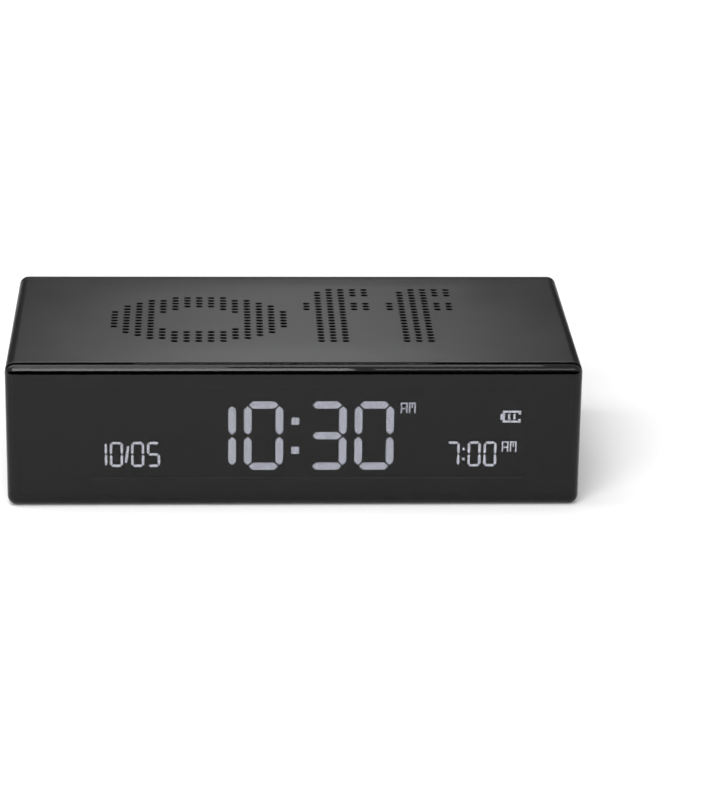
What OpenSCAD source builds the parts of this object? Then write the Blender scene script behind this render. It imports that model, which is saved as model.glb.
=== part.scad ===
// Reversible digital alarm clock: a metal sleeve closed by a gloss front panel and a rear cover.
// Millimetres. The origin is the middle of the underside, +X to the right, +Y to the back, +Z up.

/* [Case] */
// Width of the whole clock
clock_w = 180; // [172:1:200]
// Depth of the whole clock, front to back
clock_d = 90; // [87:1:110]
// Height of the whole clock
clock_h = 47; // [42:0.5:54]
// Wall of the metal sleeve
sleeve_wall = 2; // [1.6:0.1:2.4]
// Outside radius of the four long edges
corner_r = 3; // [3:0.1:4]
// Thickness of the front panel's plate
panel_t = 2.5; // [2.4:0.1:3]
// How far the front panel's border reaches behind its plate
panel_skirt = 0.6; // [0.5:0.1:1.2]
// Rounding round the edge of the front panel
panel_edge_r = 2.9; // [1.2:0.1:2.9]
// Thickness of the rear cover's plate
cover_t = 2.5; // [2.4:0.1:3]
// Rounding round the edge of the rear cover
cover_edge_r = 0.4; // [0.3:0.1:2.2]
// Wall of the rims that plug into the sleeve
rim_wall = 1.6; // [1.2:0.1:2]
// Length of the rear cover's rim
cover_rim_l = 6; // [4:0.5:7]
// Width of the dark seam behind the front panel
front_seam = 0.7; // [0.3:0.1:1]
// Width of the dark seam at the rear cover
seam_gap = 0.3; // [0.2:0.05:0.5]
// How far the seam gaskets sit below the outside
seam_inset = 0.15; // [0.1:0.05:0.8]
// Slip clearance of what plugs into the sleeve
slip_gap = 0.2; // [0.1:0.05:0.3]

/* [Sound holes] */
// Diameter of a sound hole
dot_d = 2.35; // [1.4:0.05:2.4]
// Pitch of the holes, side to side
dot_pitch_x = 3.89; // [3.6:0.01:4]
// Pitch of the holes, front to back
dot_pitch_y = 2.87; // [2.6:0.01:2.95]
// Middle of the top word, side to side
word_x = -2.65; // [-4:0.05:4]
// Middle of the small letters, front to back
word_y = 0.4; // [-2:0.1:2]
// Thickness of the acoustic mesh behind the holes
mesh_t = 0.2; // [0.1:0.05:0.3]
// How far the mesh runs past the holes
mesh_margin = 2; // [1:0.5:3]

/* [Display] */
// Width of the display glass
glass_w = 150; // [146:1:154]
// From the top and the underside of the clock to the display glass
glass_border = 6.5; // [5.6:0.1:8]
// Thickness of one sheet of display glass
glass_t = 0.7; // [0.5:0.1:1.1]
// Gap between the two sheets, filled by the liquid crystal
cell_gap = 0.1; // [0.05:0.05:0.2]
// Width of the seal that joins the two sheets
seal_w = 1.5; // [1:0.1:2]
// Height of the bare ledge at the foot of the front glass
ledge_h = 2.5; // [2.2:0.1:3]
// Thickness of a polariser film
film_t = 0.2; // [0.1:0.05:0.3]
// Border left bare round a polariser film
film_margin = 1; // [0.5:0.1:1.5]
// Thickness of the diffuser sheet
diffuser_t = 0.3; // [0.2:0.05:0.5]
// Thickness of the light guide
guide_t = 2.5; // [2:0.1:3]
// Thickness of the reflector sheet
reflector_t = 0.2; // [0.1:0.05:0.3]
// Side wall of the tray that holds the display
tray_wall = 1.2; // [0.8:0.1:1.5]
// Back of the tray that holds the display
tray_t = 1; // [0.8:0.1:1.5]
// Clearance round the sheets in the tray
sheet_gap = 0.2; // [0.1:0.05:0.4]
// Number of lamps along the light guide
led_count = 6; // [4:1:8]
// Length of a lamp
led_l = 3; // [2:0.5:4]
// Height of a lamp
led_h = 1; // [0.6:0.1:1.4]
// Thickness of the flexible circuits
flex_t = 0.15; // [0.1:0.05:0.25]
// Width of the display's flexible circuit
flex_w = 20; // [16:1:24]
// Place of the display's flexible circuit, side to side
flex_x = -10; // [-14:1:-6]
// Inside radius of the bend in the display's flexible circuit
flex_bend = 0.6; // [0.4:0.1:0.8]
// Width of the lamp strip's tail
tail_w = 5; // [4:0.5:6]
// From the end of the circuit board to the middle of the lamp strip's tail
tail_end = 8; // [6:1:12]
// Clearance of the circuits in the slots they pass through
slot_gap = 0.3; // [0.2:0.1:0.4]

/* [Figures] */
// Width of a large figure
figure_w = 12.3; // [10:0.1:13]
// From the display's seal up to the foot of the large figures
figure_foot_border = 0.95; // [0.5:0.05:3]
// From the top of the large figures up to the display's seal
figure_head_border = 4.65; // [2:0.05:6]
// Pitch of the large figures
figure_pitch = 14.8; // [14.4:0.1:15.4]
// Stroke of the large figures
figure_stroke = 2.4; // [2:0.1:3]
// Middle of the time, side to side
time_x = 0.35; // [-3:0.05:3]
// Room between the two pairs of large figures
colon_room = 7.6; // [7:0.1:8]
// Distance between the two dots of the large colon
colon_pitch = 9.75; // [8:0.05:11]
// Width of a small figure
small_w = 4.15; // [3.6:0.05:4.4]
// Height of a small figure
small_h = 8.4; // [7:0.1:9]
// Pitch of the small figures
small_pitch = 4.97; // [4.8:0.01:5.2]
// Stroke of the small figures
small_stroke = 0.8; // [0.7:0.05:1.1]
// Room between the two pairs of small figures
small_room = 2.5; // [2.2:0.1:2.8]
// Distance between the two dots of the small colon
small_colon_pitch = 3.4; // [2.5:0.1:4.5]
// Middle of the date, side to side
date_x = -52.35; // [-54:0.05:-50]
// Middle of the alarm time's colon, side to side
alarm_x = 53.4; // [52:0.05:55]
// From the display's seal up to the foot of the small figures
small_foot_border = 2; // [0.5:0.1:3]
// Height of the slash in the date
slash_h = 5.7; // [4:0.1:7]
// Gap between the tips of neighbouring strokes
stroke_gap = 0.4; // [0.2:0.05:0.5]
// Width of the half-day sign
half_day_w = 4.7; // [4:0.05:5.2]
// Height of the half-day sign
half_day_h = 3.5; // [3:0.1:4.4]
// Stroke of the half-day sign
half_day_stroke = 0.45; // [0.4:0.05:0.7]
// Gap between a figure and its half-day sign
half_day_gap = 1.6; // [1:0.1:2]
// Width of the battery sign, with its tip
battery_sign_w = 6.4; // [6:0.1:7]
// Height of the battery sign
battery_sign_h = 4; // [4:0.1:5]
// Line of the battery sign
battery_sign_line = 0.7; // [0.6:0.05:0.9]
// Middle of the battery sign, side to side
battery_sign_x = 67.9; // [66:0.1:69]
// Middle of the battery sign above the middle of the clock
battery_sign_rise = 5.7; // [4:0.1:8]

/* [Chassis] */
// Thickness of the chassis' front wall
chassis_t = 2; // [1.6:0.1:2.4]
// Thickness of the tape between the front panel and the chassis
tape_t = 0.3; // [0.2:0.05:0.5]
// Thickness of the deck that carries the speaker and the battery
deck_t = 2; // [1.6:0.1:2.4]
// Thickness of the chassis' side plates
side_t = 2; // [1.6:0.1:2.4]
// Diameter of the posts that the rear screws bite into
post_d = 6; // [5.4:0.1:6.4]
// Clearance between a post and the rims
post_gap = 0.4; // [0.3:0.1:0.8]
// Thread diameter of the rear screws
rear_screw_d = 2.6; // [2:0.1:3]
// Head diameter of the rear screws
rear_head_d = 5; // [4.4:0.1:5.4]
// Length of the rear screws
rear_screw_l = 12; // [8:0.5:16]
// Radial clearance of the screws in their holes
screw_gap = 0.1; // [0.05:0.05:0.2]
// Width of the blocks that the circuit board is screwed to
boss_w = 6; // [5:0.5:7]
// Depth of the blocks that the circuit board is screwed to
boss_l = 12; // [10:0.5:14]
// From the end of the circuit board to the middle of the block that it is screwed to
boss_end = 22; // [20:0.5:24]
// Distance between the two screws of one board block
boss_pitch = 14; // [12:0.5:16]

/* [Circuit board] */
// From the end of the clock to the circuit board
board_end = 20; // [19:1:22]
// Thickness of the circuit board
board_t = 1.6; // [1.2:0.1:2]
// How far the circuit board reaches past the lamp strip, above and below
board_margin = 1; // [0.6:0.1:1.4]
// Room between the deck and the circuit board
board_room = 3; // [2:0.5:4]
// Thread diameter of the board screws
board_screw_d = 2; // [1.6:0.1:2.4]
// Head diameter of the board screws
board_head_d = 4; // [3.6:0.1:4.4]
// Head height of the board screws
board_head_h = 1.4; // [1:0.1:1.8]
// Length of the board screws
board_screw_l = 8; // [6:0.5:10]
// Place of the controller chip, side to side
chip_x = -5; // [-8:0.5:-4]
// Middle of the controller chip above the middle of the board
chip_rise = 7; // [5:0.5:8]
// Side of the controller chip
chip_side = 12; // [10:0.5:12]
// Thickness of the controller chip
chip_t = 1.2; // [0.8:0.1:1.6]
// Middle of the charger chip above the middle of the board
charger_rise = -10; // [-12:0.5:-6]
// Side of the charger chip
charger_side = 4; // [3:0.5:5]
// Thickness of the charger chip
charger_t = 0.9; // [0.6:0.1:1.2]
// Gap between the crystal and the controller chip
crystal_gap = 3; // [2:0.5:4]
// Length of the crystal
crystal_l = 3.2; // [2.5:0.1:4]
// Thickness of the crystal
crystal_t = 0.9; // [0.6:0.1:1.2]
// Place of the first small part, side to side
small_part_x = 8; // [6:0.5:10]
// Height of the small parts above the middle of the board
small_part_rise = 12; // [9:0.5:14]
// Number of small parts in the row
small_part_count = 7; // [4:1:8]
// Length of a small part
small_part_l = 2; // [1.6:0.1:2.4]
// Pitch of the small parts
small_part_pitch = 4.5; // [3.5:0.1:4.6]

// Length of the connector for the display's flexible circuit
connector_l = 4; // [3:0.1:5]
// Height of the connector for the display's flexible circuit
connector_h = 2.2; // [1.8:0.1:2.4]
// How far that connector runs past the circuit at each side
connector_margin = 2; // [1:0.1:3]
// How far the flexible circuit is pushed into its connector
flex_reach = 2; // [1.5:0.1:2.5]

/* [Keys] */
// Diameter of a key
key_d = 9; // [8:0.1:10]
// Pitch of the keys
key_pitch = 16; // [14:0.5:16.5]
// How far a key stands out of the floor of the bay
key_proud = 0.5; // [0.3:0.1:0.5]
// How far a key travels
key_travel = 0.3; // [0.2:0.05:0.35]
// Chamfer round the top of a key
key_chamfer = 0.3; // [0.1:0.1:0.5]
// Radial clearance of a key in the rear cover
key_gap = 0.25; // [0.2:0.05:0.4]
// Width of the flange that keeps a key in
flange_w = 1; // [0.8:0.1:1.4]
// Thickness of the flange that keeps a key in
flange_t = 0.8; // [0.6:0.1:1.2]
// Clearance between the flange and the rear cover
flange_gap = 0.1; // [0.05:0.05:0.2]
// Depth of the bay round the keys
bay_depth = 0.8; // [0.6:0.1:1]
// Border of the bay round the keys
bay_margin = 3; // [2:0.5:4]
// Side of a push switch
switch_side = 6; // [5:0.1:7]
// Height of a push switch
switch_h = 3.5; // [3:0.1:4.5]
// Diameter of a switch plunger
plunger_d = 3.4; // [3:0.1:3.8]
// How far a plunger stands out of its switch
plunger_proud = 1.5; // [1:0.1:2]
// How far a plunger reaches into its switch
plunger_reach = 1.2; // [0.8:0.1:1.4]
// Radial clearance of a plunger in its switch
plunger_gap = 0.15; // [0.1:0.05:0.2]
// Height of the snap dome under a plunger
dome_h = 0.4; // [0.3:0.05:0.5]
// Thickness of the snap dome
dome_t = 0.12; // [0.08:0.01:0.16]
// Room left between a pressed plunger and its dome
dome_room = 0.2; // [0.1:0.05:0.3]

/* [Charging socket] */
// Width of the charging socket's shell
usb_w = 8.94; // [8.4:0.01:9.2]
// Height of the charging socket's shell
usb_h = 3.16; // [3:0.01:3.4]
// Wall of the charging socket's shell
usb_wall = 0.3; // [0.2:0.05:0.4]
// From the end of the circuit board to the middle of the charging socket
usb_end = 10; // [7:0.5:13]
// How far the mouth of the socket sits below the outside
usb_inset = 0.8; // [0.4:0.1:1.2]
// Clearance round the socket in the rear cover
usb_gap = 0.3; // [0.2:0.05:0.5]
// Width of the tongue inside the socket
tongue_w = 6.7; // [6:0.1:7]
// Thickness of the tongue inside the socket
tongue_t = 0.7; // [0.6:0.05:0.8]
// Thickness of the socket's base
usb_base_t = 1; // [0.6:0.1:1.4]

/* [Tilt switch] */
// From the end of the circuit board to the middle of the tilt switch
tilt_end = 8; // [6:0.5:12]
// Middle of the tilt switch above the middle of the board
tilt_rise = 8; // [7:0.5:9]
// Side of the tilt switch
tilt_side = 6; // [5.4:0.1:7]
// Height of the tilt switch's body
tilt_h = 7; // [6:0.1:9]
// Floor and lid of the tilt switch
tilt_floor = 1; // [0.8:0.1:1.4]
// Diameter of the tilt switch's ball
ball_d = 3.2; // [2.8:0.1:3.6]
// Clearance round the ball
ball_gap = 0.15; // [0.1:0.05:0.3]

/* [Battery] */
// Width of the battery cell
cell_w = 60; // [50:1:64]
// Depth of the battery cell
cell_d = 36; // [30:1:38]
// Thickness of the battery cell
cell_t = 9; // [7:0.5:10]
// Rounding of the battery cell's corners
cell_r = 3; // [2:0.5:4]
// Middle of the battery cell, side to side
battery_x = 30; // [26:1:32]
// Middle of the battery cell, front to back
battery_y = -8; // [-10:0.5:-4]
// Thickness of the pad that holds the cell to the deck
pad_t = 0.5; // [0.3:0.1:1]
// Border left bare round the pad
pad_margin = 4; // [2:0.5:6]
// Width of the cell's protection board
guard_w = 20; // [14:1:24]
// Depth of the cell's protection board
guard_d = 3.5; // [3:0.1:4]
// Thickness of the cell's protection board
guard_t = 1; // [0.8:0.1:1.6]
// Diameter of the leads
lead_d = 1.2; // [0.8:0.1:1.5]
// Pitch of a pair of leads
lead_pitch = 2; // [1.8:0.1:2.5]
// How far a lead hangs between its ends
lead_sag = 1.5; // [0.5:0.1:2]
// Width of the battery's plug
plug_w = 6; // [5:0.1:7]
// Height of the battery's plug
plug_h = 3.6; // [3:0.1:4]
// Length of the plug's nose and of its grip, each
plug_l = 3; // [2:0.1:3.5]
// Wall of the header that takes the plug
header_wall = 0.8; // [0.6:0.1:1]
// Clearance of the plug in the header
plug_gap = 0.1; // [0.05:0.05:0.2]

/* [Speaker] */
// Diameter of the speaker
speaker_d = 36; // [32:1:40]
// Thickness of the speaker's flange
speaker_flange_t = 1; // [0.8:0.1:1.4]
// Width of the speaker's flange
speaker_flange_w = 3.2; // [2.8:0.1:3.6]
// Wall of the chamber behind the speaker
chamber_wall = 2; // [1.6:0.1:2.4]
// Depth of the basket below the flange
basket_depth = 5; // [4:0.5:6]
// Thickness of the basket's sheet metal
basket_t = 0.8; // [0.6:0.1:1]
// Diameter of the magnet
magnet_d = 18; // [14:0.5:20]
// Height of the magnet
magnet_h = 5; // [3:0.5:6]
// Thickness of the cone
cone_t = 0.4; // [0.3:0.05:0.6]
// Depth of the cone
cone_depth = 2.5; // [1.5:0.1:3]
// Diameter of the dome in the middle of the cone
cone_dome_d = 12; // [8:0.5:13]
// Thickness of the foam ring on the speaker
foam_t = 2; // [1.5:0.1:3]
// Width of the foam ring on the speaker
foam_w = 1.4; // [1:0.1:1.6]
// Height of the lead terminal under the flange
terminal_h = 3; // [2.6:0.1:3.6]
// Height of the speaker's pads above the middle of the circuit board
speaker_pad_rise = 12; // [10:0.5:13]

/* [Hidden] */
$fn = 48;
// A cut runs past the surface by this much
cut = 1;
// The smallest radius of an inside corner
least_r = 0.4;
mid_z = clock_h / 2;

// Depth stations from the front face to the chassis
front_y = -clock_d / 2;
panel_back_y = front_y + panel_t;
skirt_y = panel_back_y + panel_skirt;
front_glass_y = panel_back_y + film_t;
crystal_y = front_glass_y + glass_t;
rear_glass_y = crystal_y + cell_gap;
rear_film_y = rear_glass_y + glass_t;
diffuser_y = rear_film_y + film_t;
guide_y = diffuser_y + diffuser_t;
reflector_y = guide_y + guide_t;
tray_y = reflector_y + reflector_t;
wall_y = tray_y + tray_t;
wall_back_y = wall_y + chassis_t;
tape_y = wall_y - tape_t;

// Depth stations from the back face to the circuit board
back_y = clock_d / 2;
cover_in_y = back_y - cover_t;
bay_y = back_y - bay_depth;
key_top_y = bay_y + key_proud;
flange_back_y = cover_in_y - flange_gap;
flange_front_y = flange_back_y - flange_t;
switch_top_y = flange_front_y - plunger_proud;
board_back_y = switch_top_y - switch_h;
board_front_y = board_back_y - board_t;
deck_back_y = board_front_y - board_room;
usb_mouth_y = back_y - usb_inset;
plunger_end_y = switch_top_y - plunger_reach;
dome_seat_y = plunger_end_y - key_travel - dome_room - dome_h;
flex_socket_y = board_front_y - connector_l + flex_reach;
rear_head_y = back_y - (rear_head_d - rear_screw_d) / 2;
board_screw_end_y = board_back_y - board_screw_l;

// The two ends of the sleeve
sleeve_front_y = skirt_y + front_seam;
sleeve_back_y = cover_in_y - seam_gap;

// Insets from the outside of the case
plug_inset = sleeve_wall + slip_gap;
rim_inset = plug_inset + rim_wall;

// Places along the circuit board, from its ends
board_w = clock_w - 2 * board_end;
boss_x = board_w / 2 - boss_end;
tail_x = board_w / 2 - tail_end;
usb_x = board_w / 2 - usb_end;
tilt_x = tilt_end - board_w / 2;

// Posts for the rear screws
post_x = clock_w / 2 - rim_inset - post_gap - post_d / 2;
post_rise = mid_z - rim_inset - post_gap - post_d / 2;
boss_half_h = (boss_pitch + boss_w) / 2;

// Heights of the display and of the deck
glass_low_z = glass_border;
glass_top_z = clock_h - glass_border;
rear_glass_low_z = glass_low_z + ledge_h;
figure_foot = rear_glass_low_z + seal_w + figure_foot_border;
figure_h = glass_top_z - seal_w - figure_head_border - figure_foot;
small_foot = rear_glass_low_z + seal_w + small_foot_border;
guide_top_z = glass_top_z - flex_t - led_h;
flex_run_z = glass_low_z + slot_gap;
deck_low_z = mid_z - deck_t / 2;
deck_top_z = mid_z + deck_t / 2;
board_h = glass_top_z - glass_low_z + 2 * board_margin;
crystal_x = chip_x - (chip_side + crystal_l) / 2 - crystal_gap;
tilt_low_z = mid_z + tilt_rise - tilt_h / 2;
tilt_y = board_front_y - tilt_side / 2;

// Heights of the speaker, from the top of the sleeve down
mesh_low_z = clock_h - sleeve_wall - mesh_t;
flange_top_z = mesh_low_z - foam_t;
speaker_seat_z = flange_top_z - speaker_flange_t;

// Heights of the battery, from the deck down
cell_top_z = deck_low_z - pad_t;
cell_mid_z = cell_top_z - cell_t / 2;
cell_back_y = battery_y + cell_d / 2;
guard_back_y = cell_back_y + guard_d;
header_front_y = board_front_y - plug_l - header_wall;
plug_front_y = header_front_y - plug_l;

// The bay and the row of keys
key_count = 5;
bay_w = (key_count - 1) * key_pitch + key_d + 2 * bay_margin;
bay_h = key_d + 2 * bay_margin;

// The small letter o fills 15 columns and 16 rows, with an opening half as large
o_half_columns = 7.5;
o_half_rows = 8;
opening_half_columns = 3.75;
opening_half_rows = 4;
// The opening of the letter sits a quarter of a row towards the front
opening_shift = 0.25;
last_column = 7;
last_row = 7.5;
// The letter f rises three rows above the small letter
f_top_row = -10.5;
stem_columns = [1, 2, 3];
hook_columns = [4, 5];
bar_columns = [0, 4, 5];
hook_rows = [-10.5, -9.5, -8.5];
bar_rows = [-5.5, -4.5, -3.5];
// Columns of the letters from the middle of their word
o_column = -7;
f_columns = [2, 9];
under_o_column = -8;
under_n_column = 8;

function in_ellipse(c, r, half_c, half_r) = pow(c / half_c, 2) + pow(r / half_r, 2) < 1;
function in_ring(c, r) = in_ellipse(c, r, o_half_columns, o_half_rows)
    && !in_ellipse(c, r - opening_shift, opening_half_columns, opening_half_rows);
function in_n(c, r) = abs(c) > opening_half_columns && (r > 0 || c < 0) || r < 0 && in_ring(c, r);

letter_grid = [for (c = [-last_column:last_column], r = [-last_row:last_row]) [c, r]];
letter_o = [for (p = letter_grid) if (in_ring(p[0], p[1])) p];
letter_n = [for (p = letter_grid) if (in_n(p[0], p[1])) p];
letter_f = concat(
    [for (c = stem_columns, r = [f_top_row:last_row]) if (c > stem_columns[0] || r > f_top_row) [c, r]],
    [for (c = hook_columns, r = hook_rows) [c, r]],
    [for (c = bar_columns, r = bar_rows) [c, r]]);

// A hole's place on the sleeve from its column and row
function dot_place(p, column) = [word_x + (p[0] + column) * dot_pitch_x, word_y - p[1] * dot_pitch_y];
top_dots = concat(
    [for (p = letter_o) dot_place(p, o_column)],
    [for (column = f_columns, p = letter_f) dot_place(p, column)]);
// The underside is read when the clock is rolled over, which swaps left and right
function rolled_over(p) = [-p[0], p[1]];
under_dots = concat(
    [for (p = letter_o) rolled_over(dot_place(p, under_o_column))],
    [for (p = letter_n) rolled_over(dot_place(p, under_n_column))]);

speaker_x = dot_place([0, 0], o_column)[0];
speaker_y = word_y;
speaker_r = speaker_d / 2;
terminal_y = speaker_y + speaker_r - speaker_flange_w;

// Strokes that are lit in the figures 0 to 9: top, upper left, upper right, middle, lower left,
// lower right, bottom
LIT = [
    [1, 1, 1, 0, 1, 1, 1],
    [0, 0, 1, 0, 0, 1, 0],
    [1, 0, 1, 1, 1, 0, 1],
    [1, 0, 1, 1, 0, 1, 1],
    [0, 1, 1, 1, 0, 1, 0],
    [1, 1, 0, 1, 0, 1, 1],
    [1, 1, 0, 1, 1, 1, 1],
    [1, 0, 1, 0, 0, 1, 0],
    [1, 1, 1, 1, 1, 1, 1],
    [1, 1, 1, 1, 0, 1, 1]];

// A block between two opposite corners
module block(low, high) translate(low) cube(high - low);

// A drawing in width and height, extruded from one depth to another
module slab(y0, y1) translate([0, y1, 0]) rotate([90, 0, 0]) linear_extrude(y1 - y0) children();

// A drawing in depth and height, extruded from left to right
module profile(x0, x1) translate([x0, 0, 0]) rotate([90, 0, 90]) linear_extrude(x1 - x0) children();

// A round rod from one depth to another
module rod(x, z, r, y0, y1) translate([x, y0, z]) rotate([-90, 0, 0]) cylinder(r = r, h = y1 - y0);

// A cone from one depth to another
module taper(x, z, r0, r1, y0, y1)
    translate([x, y0, z]) rotate([-90, 0, 0]) cylinder(r1 = r0, r2 = r1, h = y1 - y0);

// A rectangle with round corners, about the middle
module round_rect(w, h, r) {
    square([w - 2 * r, h], center = true);
    square([w, h - 2 * r], center = true);
    for (x = [-1, 1], y = [-1, 1])
        translate([x * (w / 2 - r), y * (h / 2 - r)]) circle(r = r);
}

// A rectangle with half-round ends, about the middle
module race_track(w, h) {
    square([w - h, h], center = true);
    for (x = [-1, 1]) translate([x * (w - h) / 2, 0]) circle(d = h);
}

// The outline of the case, drawn in by an inset
module outline(inset)
    translate([0, mid_z])
        round_rect(clock_w - 2 * inset, clock_h - 2 * inset, max(least_r, corner_r - inset));

// The band between two insets
module band(outer, inner) difference() {
    outline(outer);
    outline(inner);
}

// A plate the size of the case with round corners, its upper edge rounded over
module cushion_plate(t, edge_r) {
    long_x = clock_w / 2 - corner_r;
    long_y = clock_h / 2 - corner_r;
    translate([-long_x, -long_y, 0]) cube([2 * long_x, 2 * long_y, t]);
    for (turn = [0, 180]) rotate(turn) {
        translate([long_x, long_y, 0])
            rotate([90, 0, 0]) linear_extrude(2 * long_y) edge_profile(t, edge_r);
        translate([long_x, long_y, 0]) rotate_extrude(angle = 90) edge_profile(t, edge_r);
        translate([-long_x, long_y, 0]) rotate(90) rotate_extrude(angle = 90) edge_profile(t, edge_r);
        translate([-long_x, long_y, 0])
            rotate([90, 0, 90]) linear_extrude(2 * long_x) edge_profile(t, edge_r);
    }
}

// The rounded edge, from the start of a corner to the outside
module edge_profile(t, edge_r) {
    square([corner_r, t - edge_r]);
    square([corner_r - edge_r, t]);
    intersection() {
        translate([corner_r - edge_r, t - edge_r]) circle(r = edge_r);
        square([corner_r, t]);
    }
}

// A band that plugs into the sleeve
module plug_rim(y0, y1) slab(y0, y1) band(plug_inset, rim_inset);

// A hexagonal stroke of a figure from one point to another, drawn back from both by a gap
module stroke(from, to, width, gap) {
    along = (to - from) / norm(to - from);
    side = [-along[1], along[0]] * width / 2;
    tip0 = from + along * gap;
    tip1 = to - along * gap;
    shoulder = along * width / 2;
    polygon([tip0, tip0 + shoulder + side, tip1 - shoulder + side,
             tip1, tip1 - shoulder - side, tip0 + shoulder - side]);
}

// One figure with its foot at the left on the drawing's origin
module figure(value, w, h, width) {
    left = width / 2;
    right = w - width / 2;
    foot = width / 2;
    middle = h / 2;
    head = h - width / 2;
    ends = [
        [[left, head], [right, head]],
        [[left, middle], [left, head]],
        [[right, middle], [right, head]],
        [[left, middle], [right, middle]],
        [[left, foot], [left, middle]],
        [[right, foot], [right, middle]],
        [[left, foot], [right, foot]]];
    for (i = [0:len(ends) - 1])
        if (LIT[value][i] == 1) stroke(ends[i][0], ends[i][1], width, stroke_gap * width / figure_stroke);
}

// A pair of figures whose right edge is on the drawing's origin
module pair_left(values, w, h, width, pitch)
    for (i = [0:1]) translate([-w - (1 - i) * pitch, 0]) figure(values[i], w, h, width);

// A pair of figures whose left edge is on the drawing's origin
module pair_right(values, w, h, width, pitch)
    for (i = [0:1]) translate([i * pitch, 0]) figure(values[i], w, h, width);

// The sign for the first half of the day, with its top left corner on the drawing's origin
module half_day() {
    line = half_day_stroke;
    letter_w = (half_day_w - line) / 2;
    second_x = letter_w + line;
    for (x = [0, letter_w - line, second_x, second_x + letter_w - line])
        translate([x, -half_day_h]) square([line, half_day_h]);
    for (x = [0, second_x]) translate([x, -line]) square([letter_w, line]);
    translate([0, -half_day_h / 2 - line]) square([letter_w, line]);
    translate([second_x + (letter_w - line) / 2, -half_day_h / 2]) square([line, half_day_h / 2]);
}

// The battery sign about its middle, with its tip at the left and a gap in its right end
module battery_sign() {
    line = battery_sign_line;
    case_w = battery_sign_w - line;
    bar_h = battery_sign_h - 3 * line;
    bar_pitch = (case_w - line) / 3;
    translate([line / 2, 0]) difference() {
        square([case_w, battery_sign_h], center = true);
        square([case_w - 2 * line, battery_sign_h - 2 * line], center = true);
        translate([(case_w - line) / 2, 0]) square([2 * line, 2 * line], center = true);
    }
    translate([line - battery_sign_w / 2, 0]) square([2 * line, bar_h], center = true);
    for (side = [-1, 1]) translate([(line + side * bar_pitch) / 2, 0]) square([line, bar_h], center = true);
}

// Everything that is lit on the display, in width and height
module lit_drawing() {
    translate([time_x - colon_room / 2, figure_foot])
        pair_left([1, 0], figure_w, figure_h, figure_stroke, figure_pitch);
    translate([time_x + colon_room / 2, figure_foot])
        pair_right([3, 0], figure_w, figure_h, figure_stroke, figure_pitch);
    for (side = [-1, 1])
        translate([time_x, figure_foot + (figure_h + side * colon_pitch) / 2])
            square(figure_stroke, center = true);
    translate([time_x + colon_room / 2 + figure_pitch + figure_w + half_day_gap + half_day_stroke,
               figure_foot + figure_h - half_day_stroke])
        half_day();
    translate([date_x - small_room / 2, small_foot])
        pair_left([1, 0], small_w, small_h, small_stroke, small_pitch);
    translate([date_x + small_room / 2, small_foot])
        pair_right([0, 5], small_w, small_h, small_stroke, small_pitch);
    translate([date_x, small_foot + small_h / 2])
        stroke([-small_stroke / 2, -slash_h / 2], [small_stroke / 2, slash_h / 2], small_stroke, 0);
    translate([alarm_x - small_room / 2 - small_w, small_foot]) figure(7, small_w, small_h, small_stroke);
    translate([alarm_x + small_room / 2, small_foot])
        pair_right([0, 0], small_w, small_h, small_stroke, small_pitch);
    for (side = [-1, 1])
        translate([alarm_x, small_foot + (small_h + side * small_colon_pitch) / 2])
            square(small_stroke, center = true);
    translate([alarm_x + small_room / 2 + small_pitch + small_w + half_day_gap, small_foot + small_h])
        half_day();
    translate([battery_sign_x, mid_z + battery_sign_rise]) battery_sign();
}

// A sheet of the display between two depths, drawn in by a border
module sheet(y0, y1, low_z, high_z, border)
    block([-glass_w / 2 + border, y0, low_z + border], [glass_w / 2 - border, y1, high_z - border]);

// A slot for the lamp strip's tail and one for the display's flexible circuit
module circuit_slots(y0, y1) {
    tail_half = tail_w / 2 + slot_gap;
    flex_half = flex_w / 2 + slot_gap;
    block([tail_x - tail_half, y0, glass_top_z - flex_t - slot_gap],
          [tail_x + tail_half, y1, glass_top_z + slot_gap]);
    block([flex_x - flex_half, y0, flex_run_z - slot_gap],
          [flex_x + flex_half, y1, flex_run_z + flex_t + slot_gap]);
}

// A pair of leads that run to the back, each one tube whose rings stand across the depth
module lead_pair(from, to) {
    sides = 8;
    rings = 14;
    function share(i) = i / (rings - 1);
    function ease(s) = s * s * (3 - 2 * s);
    function middle(i) = let (s = share(i)) [
        from[0] + (to[0] - from[0]) * ease(s),
        from[1] + (to[1] - from[1]) * s,
        from[2] + (to[2] - from[2]) * ease(s) - lead_sag * pow(sin(180 * s), 2)];
    ring_points = [for (i = [0:rings - 1], k = [0:sides - 1])
        middle(i) + lead_d / 2 * [cos(360 * k / sides), 0, sin(360 * k / sides)]];
    walls = [for (i = [0:rings - 2], k = [0:sides - 1]) let (n = (k + 1) % sides)
        [i * sides + k, i * sides + n, (i + 1) * sides + n, (i + 1) * sides + k]];
    front_end = [for (k = [0:sides - 1]) sides - 1 - k];
    back_end = [for (k = [0:sides - 1]) (rings - 1) * sides + k];
    for (side = [-1, 1])
        translate([side * lead_pitch / 2, 0, 0])
            polyhedron(ring_points, concat(walls, [front_end], [back_end]), convexity = 4);
}

module sleeve() color("#55575a") difference() {
    slab(sleeve_front_y, sleeve_back_y) band(0, sleeve_wall);
    for (p = top_dots)
        translate([p[0], p[1], clock_h - sleeve_wall - cut]) cylinder(d = dot_d, h = sleeve_wall + 2 * cut);
    for (p = under_dots) translate([p[0], p[1], -cut]) cylinder(d = dot_d, h = sleeve_wall + 2 * cut);
}

// A rectangle of mesh that covers a group of holes
module mesh_sheet(dots, low_z) {
    border = dot_d / 2 + mesh_margin;
    columns = [for (p = dots) p[0]];
    rows = [for (p = dots) p[1]];
    block([min(columns) - border, min(rows) - border, low_z],
          [max(columns) + border, max(rows) + border, low_z + mesh_t]);
}

module top_mesh() color("#202224") mesh_sheet(top_dots, mesh_low_z);

module bottom_mesh() color("#202224") mesh_sheet(under_dots, sleeve_wall);

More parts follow.
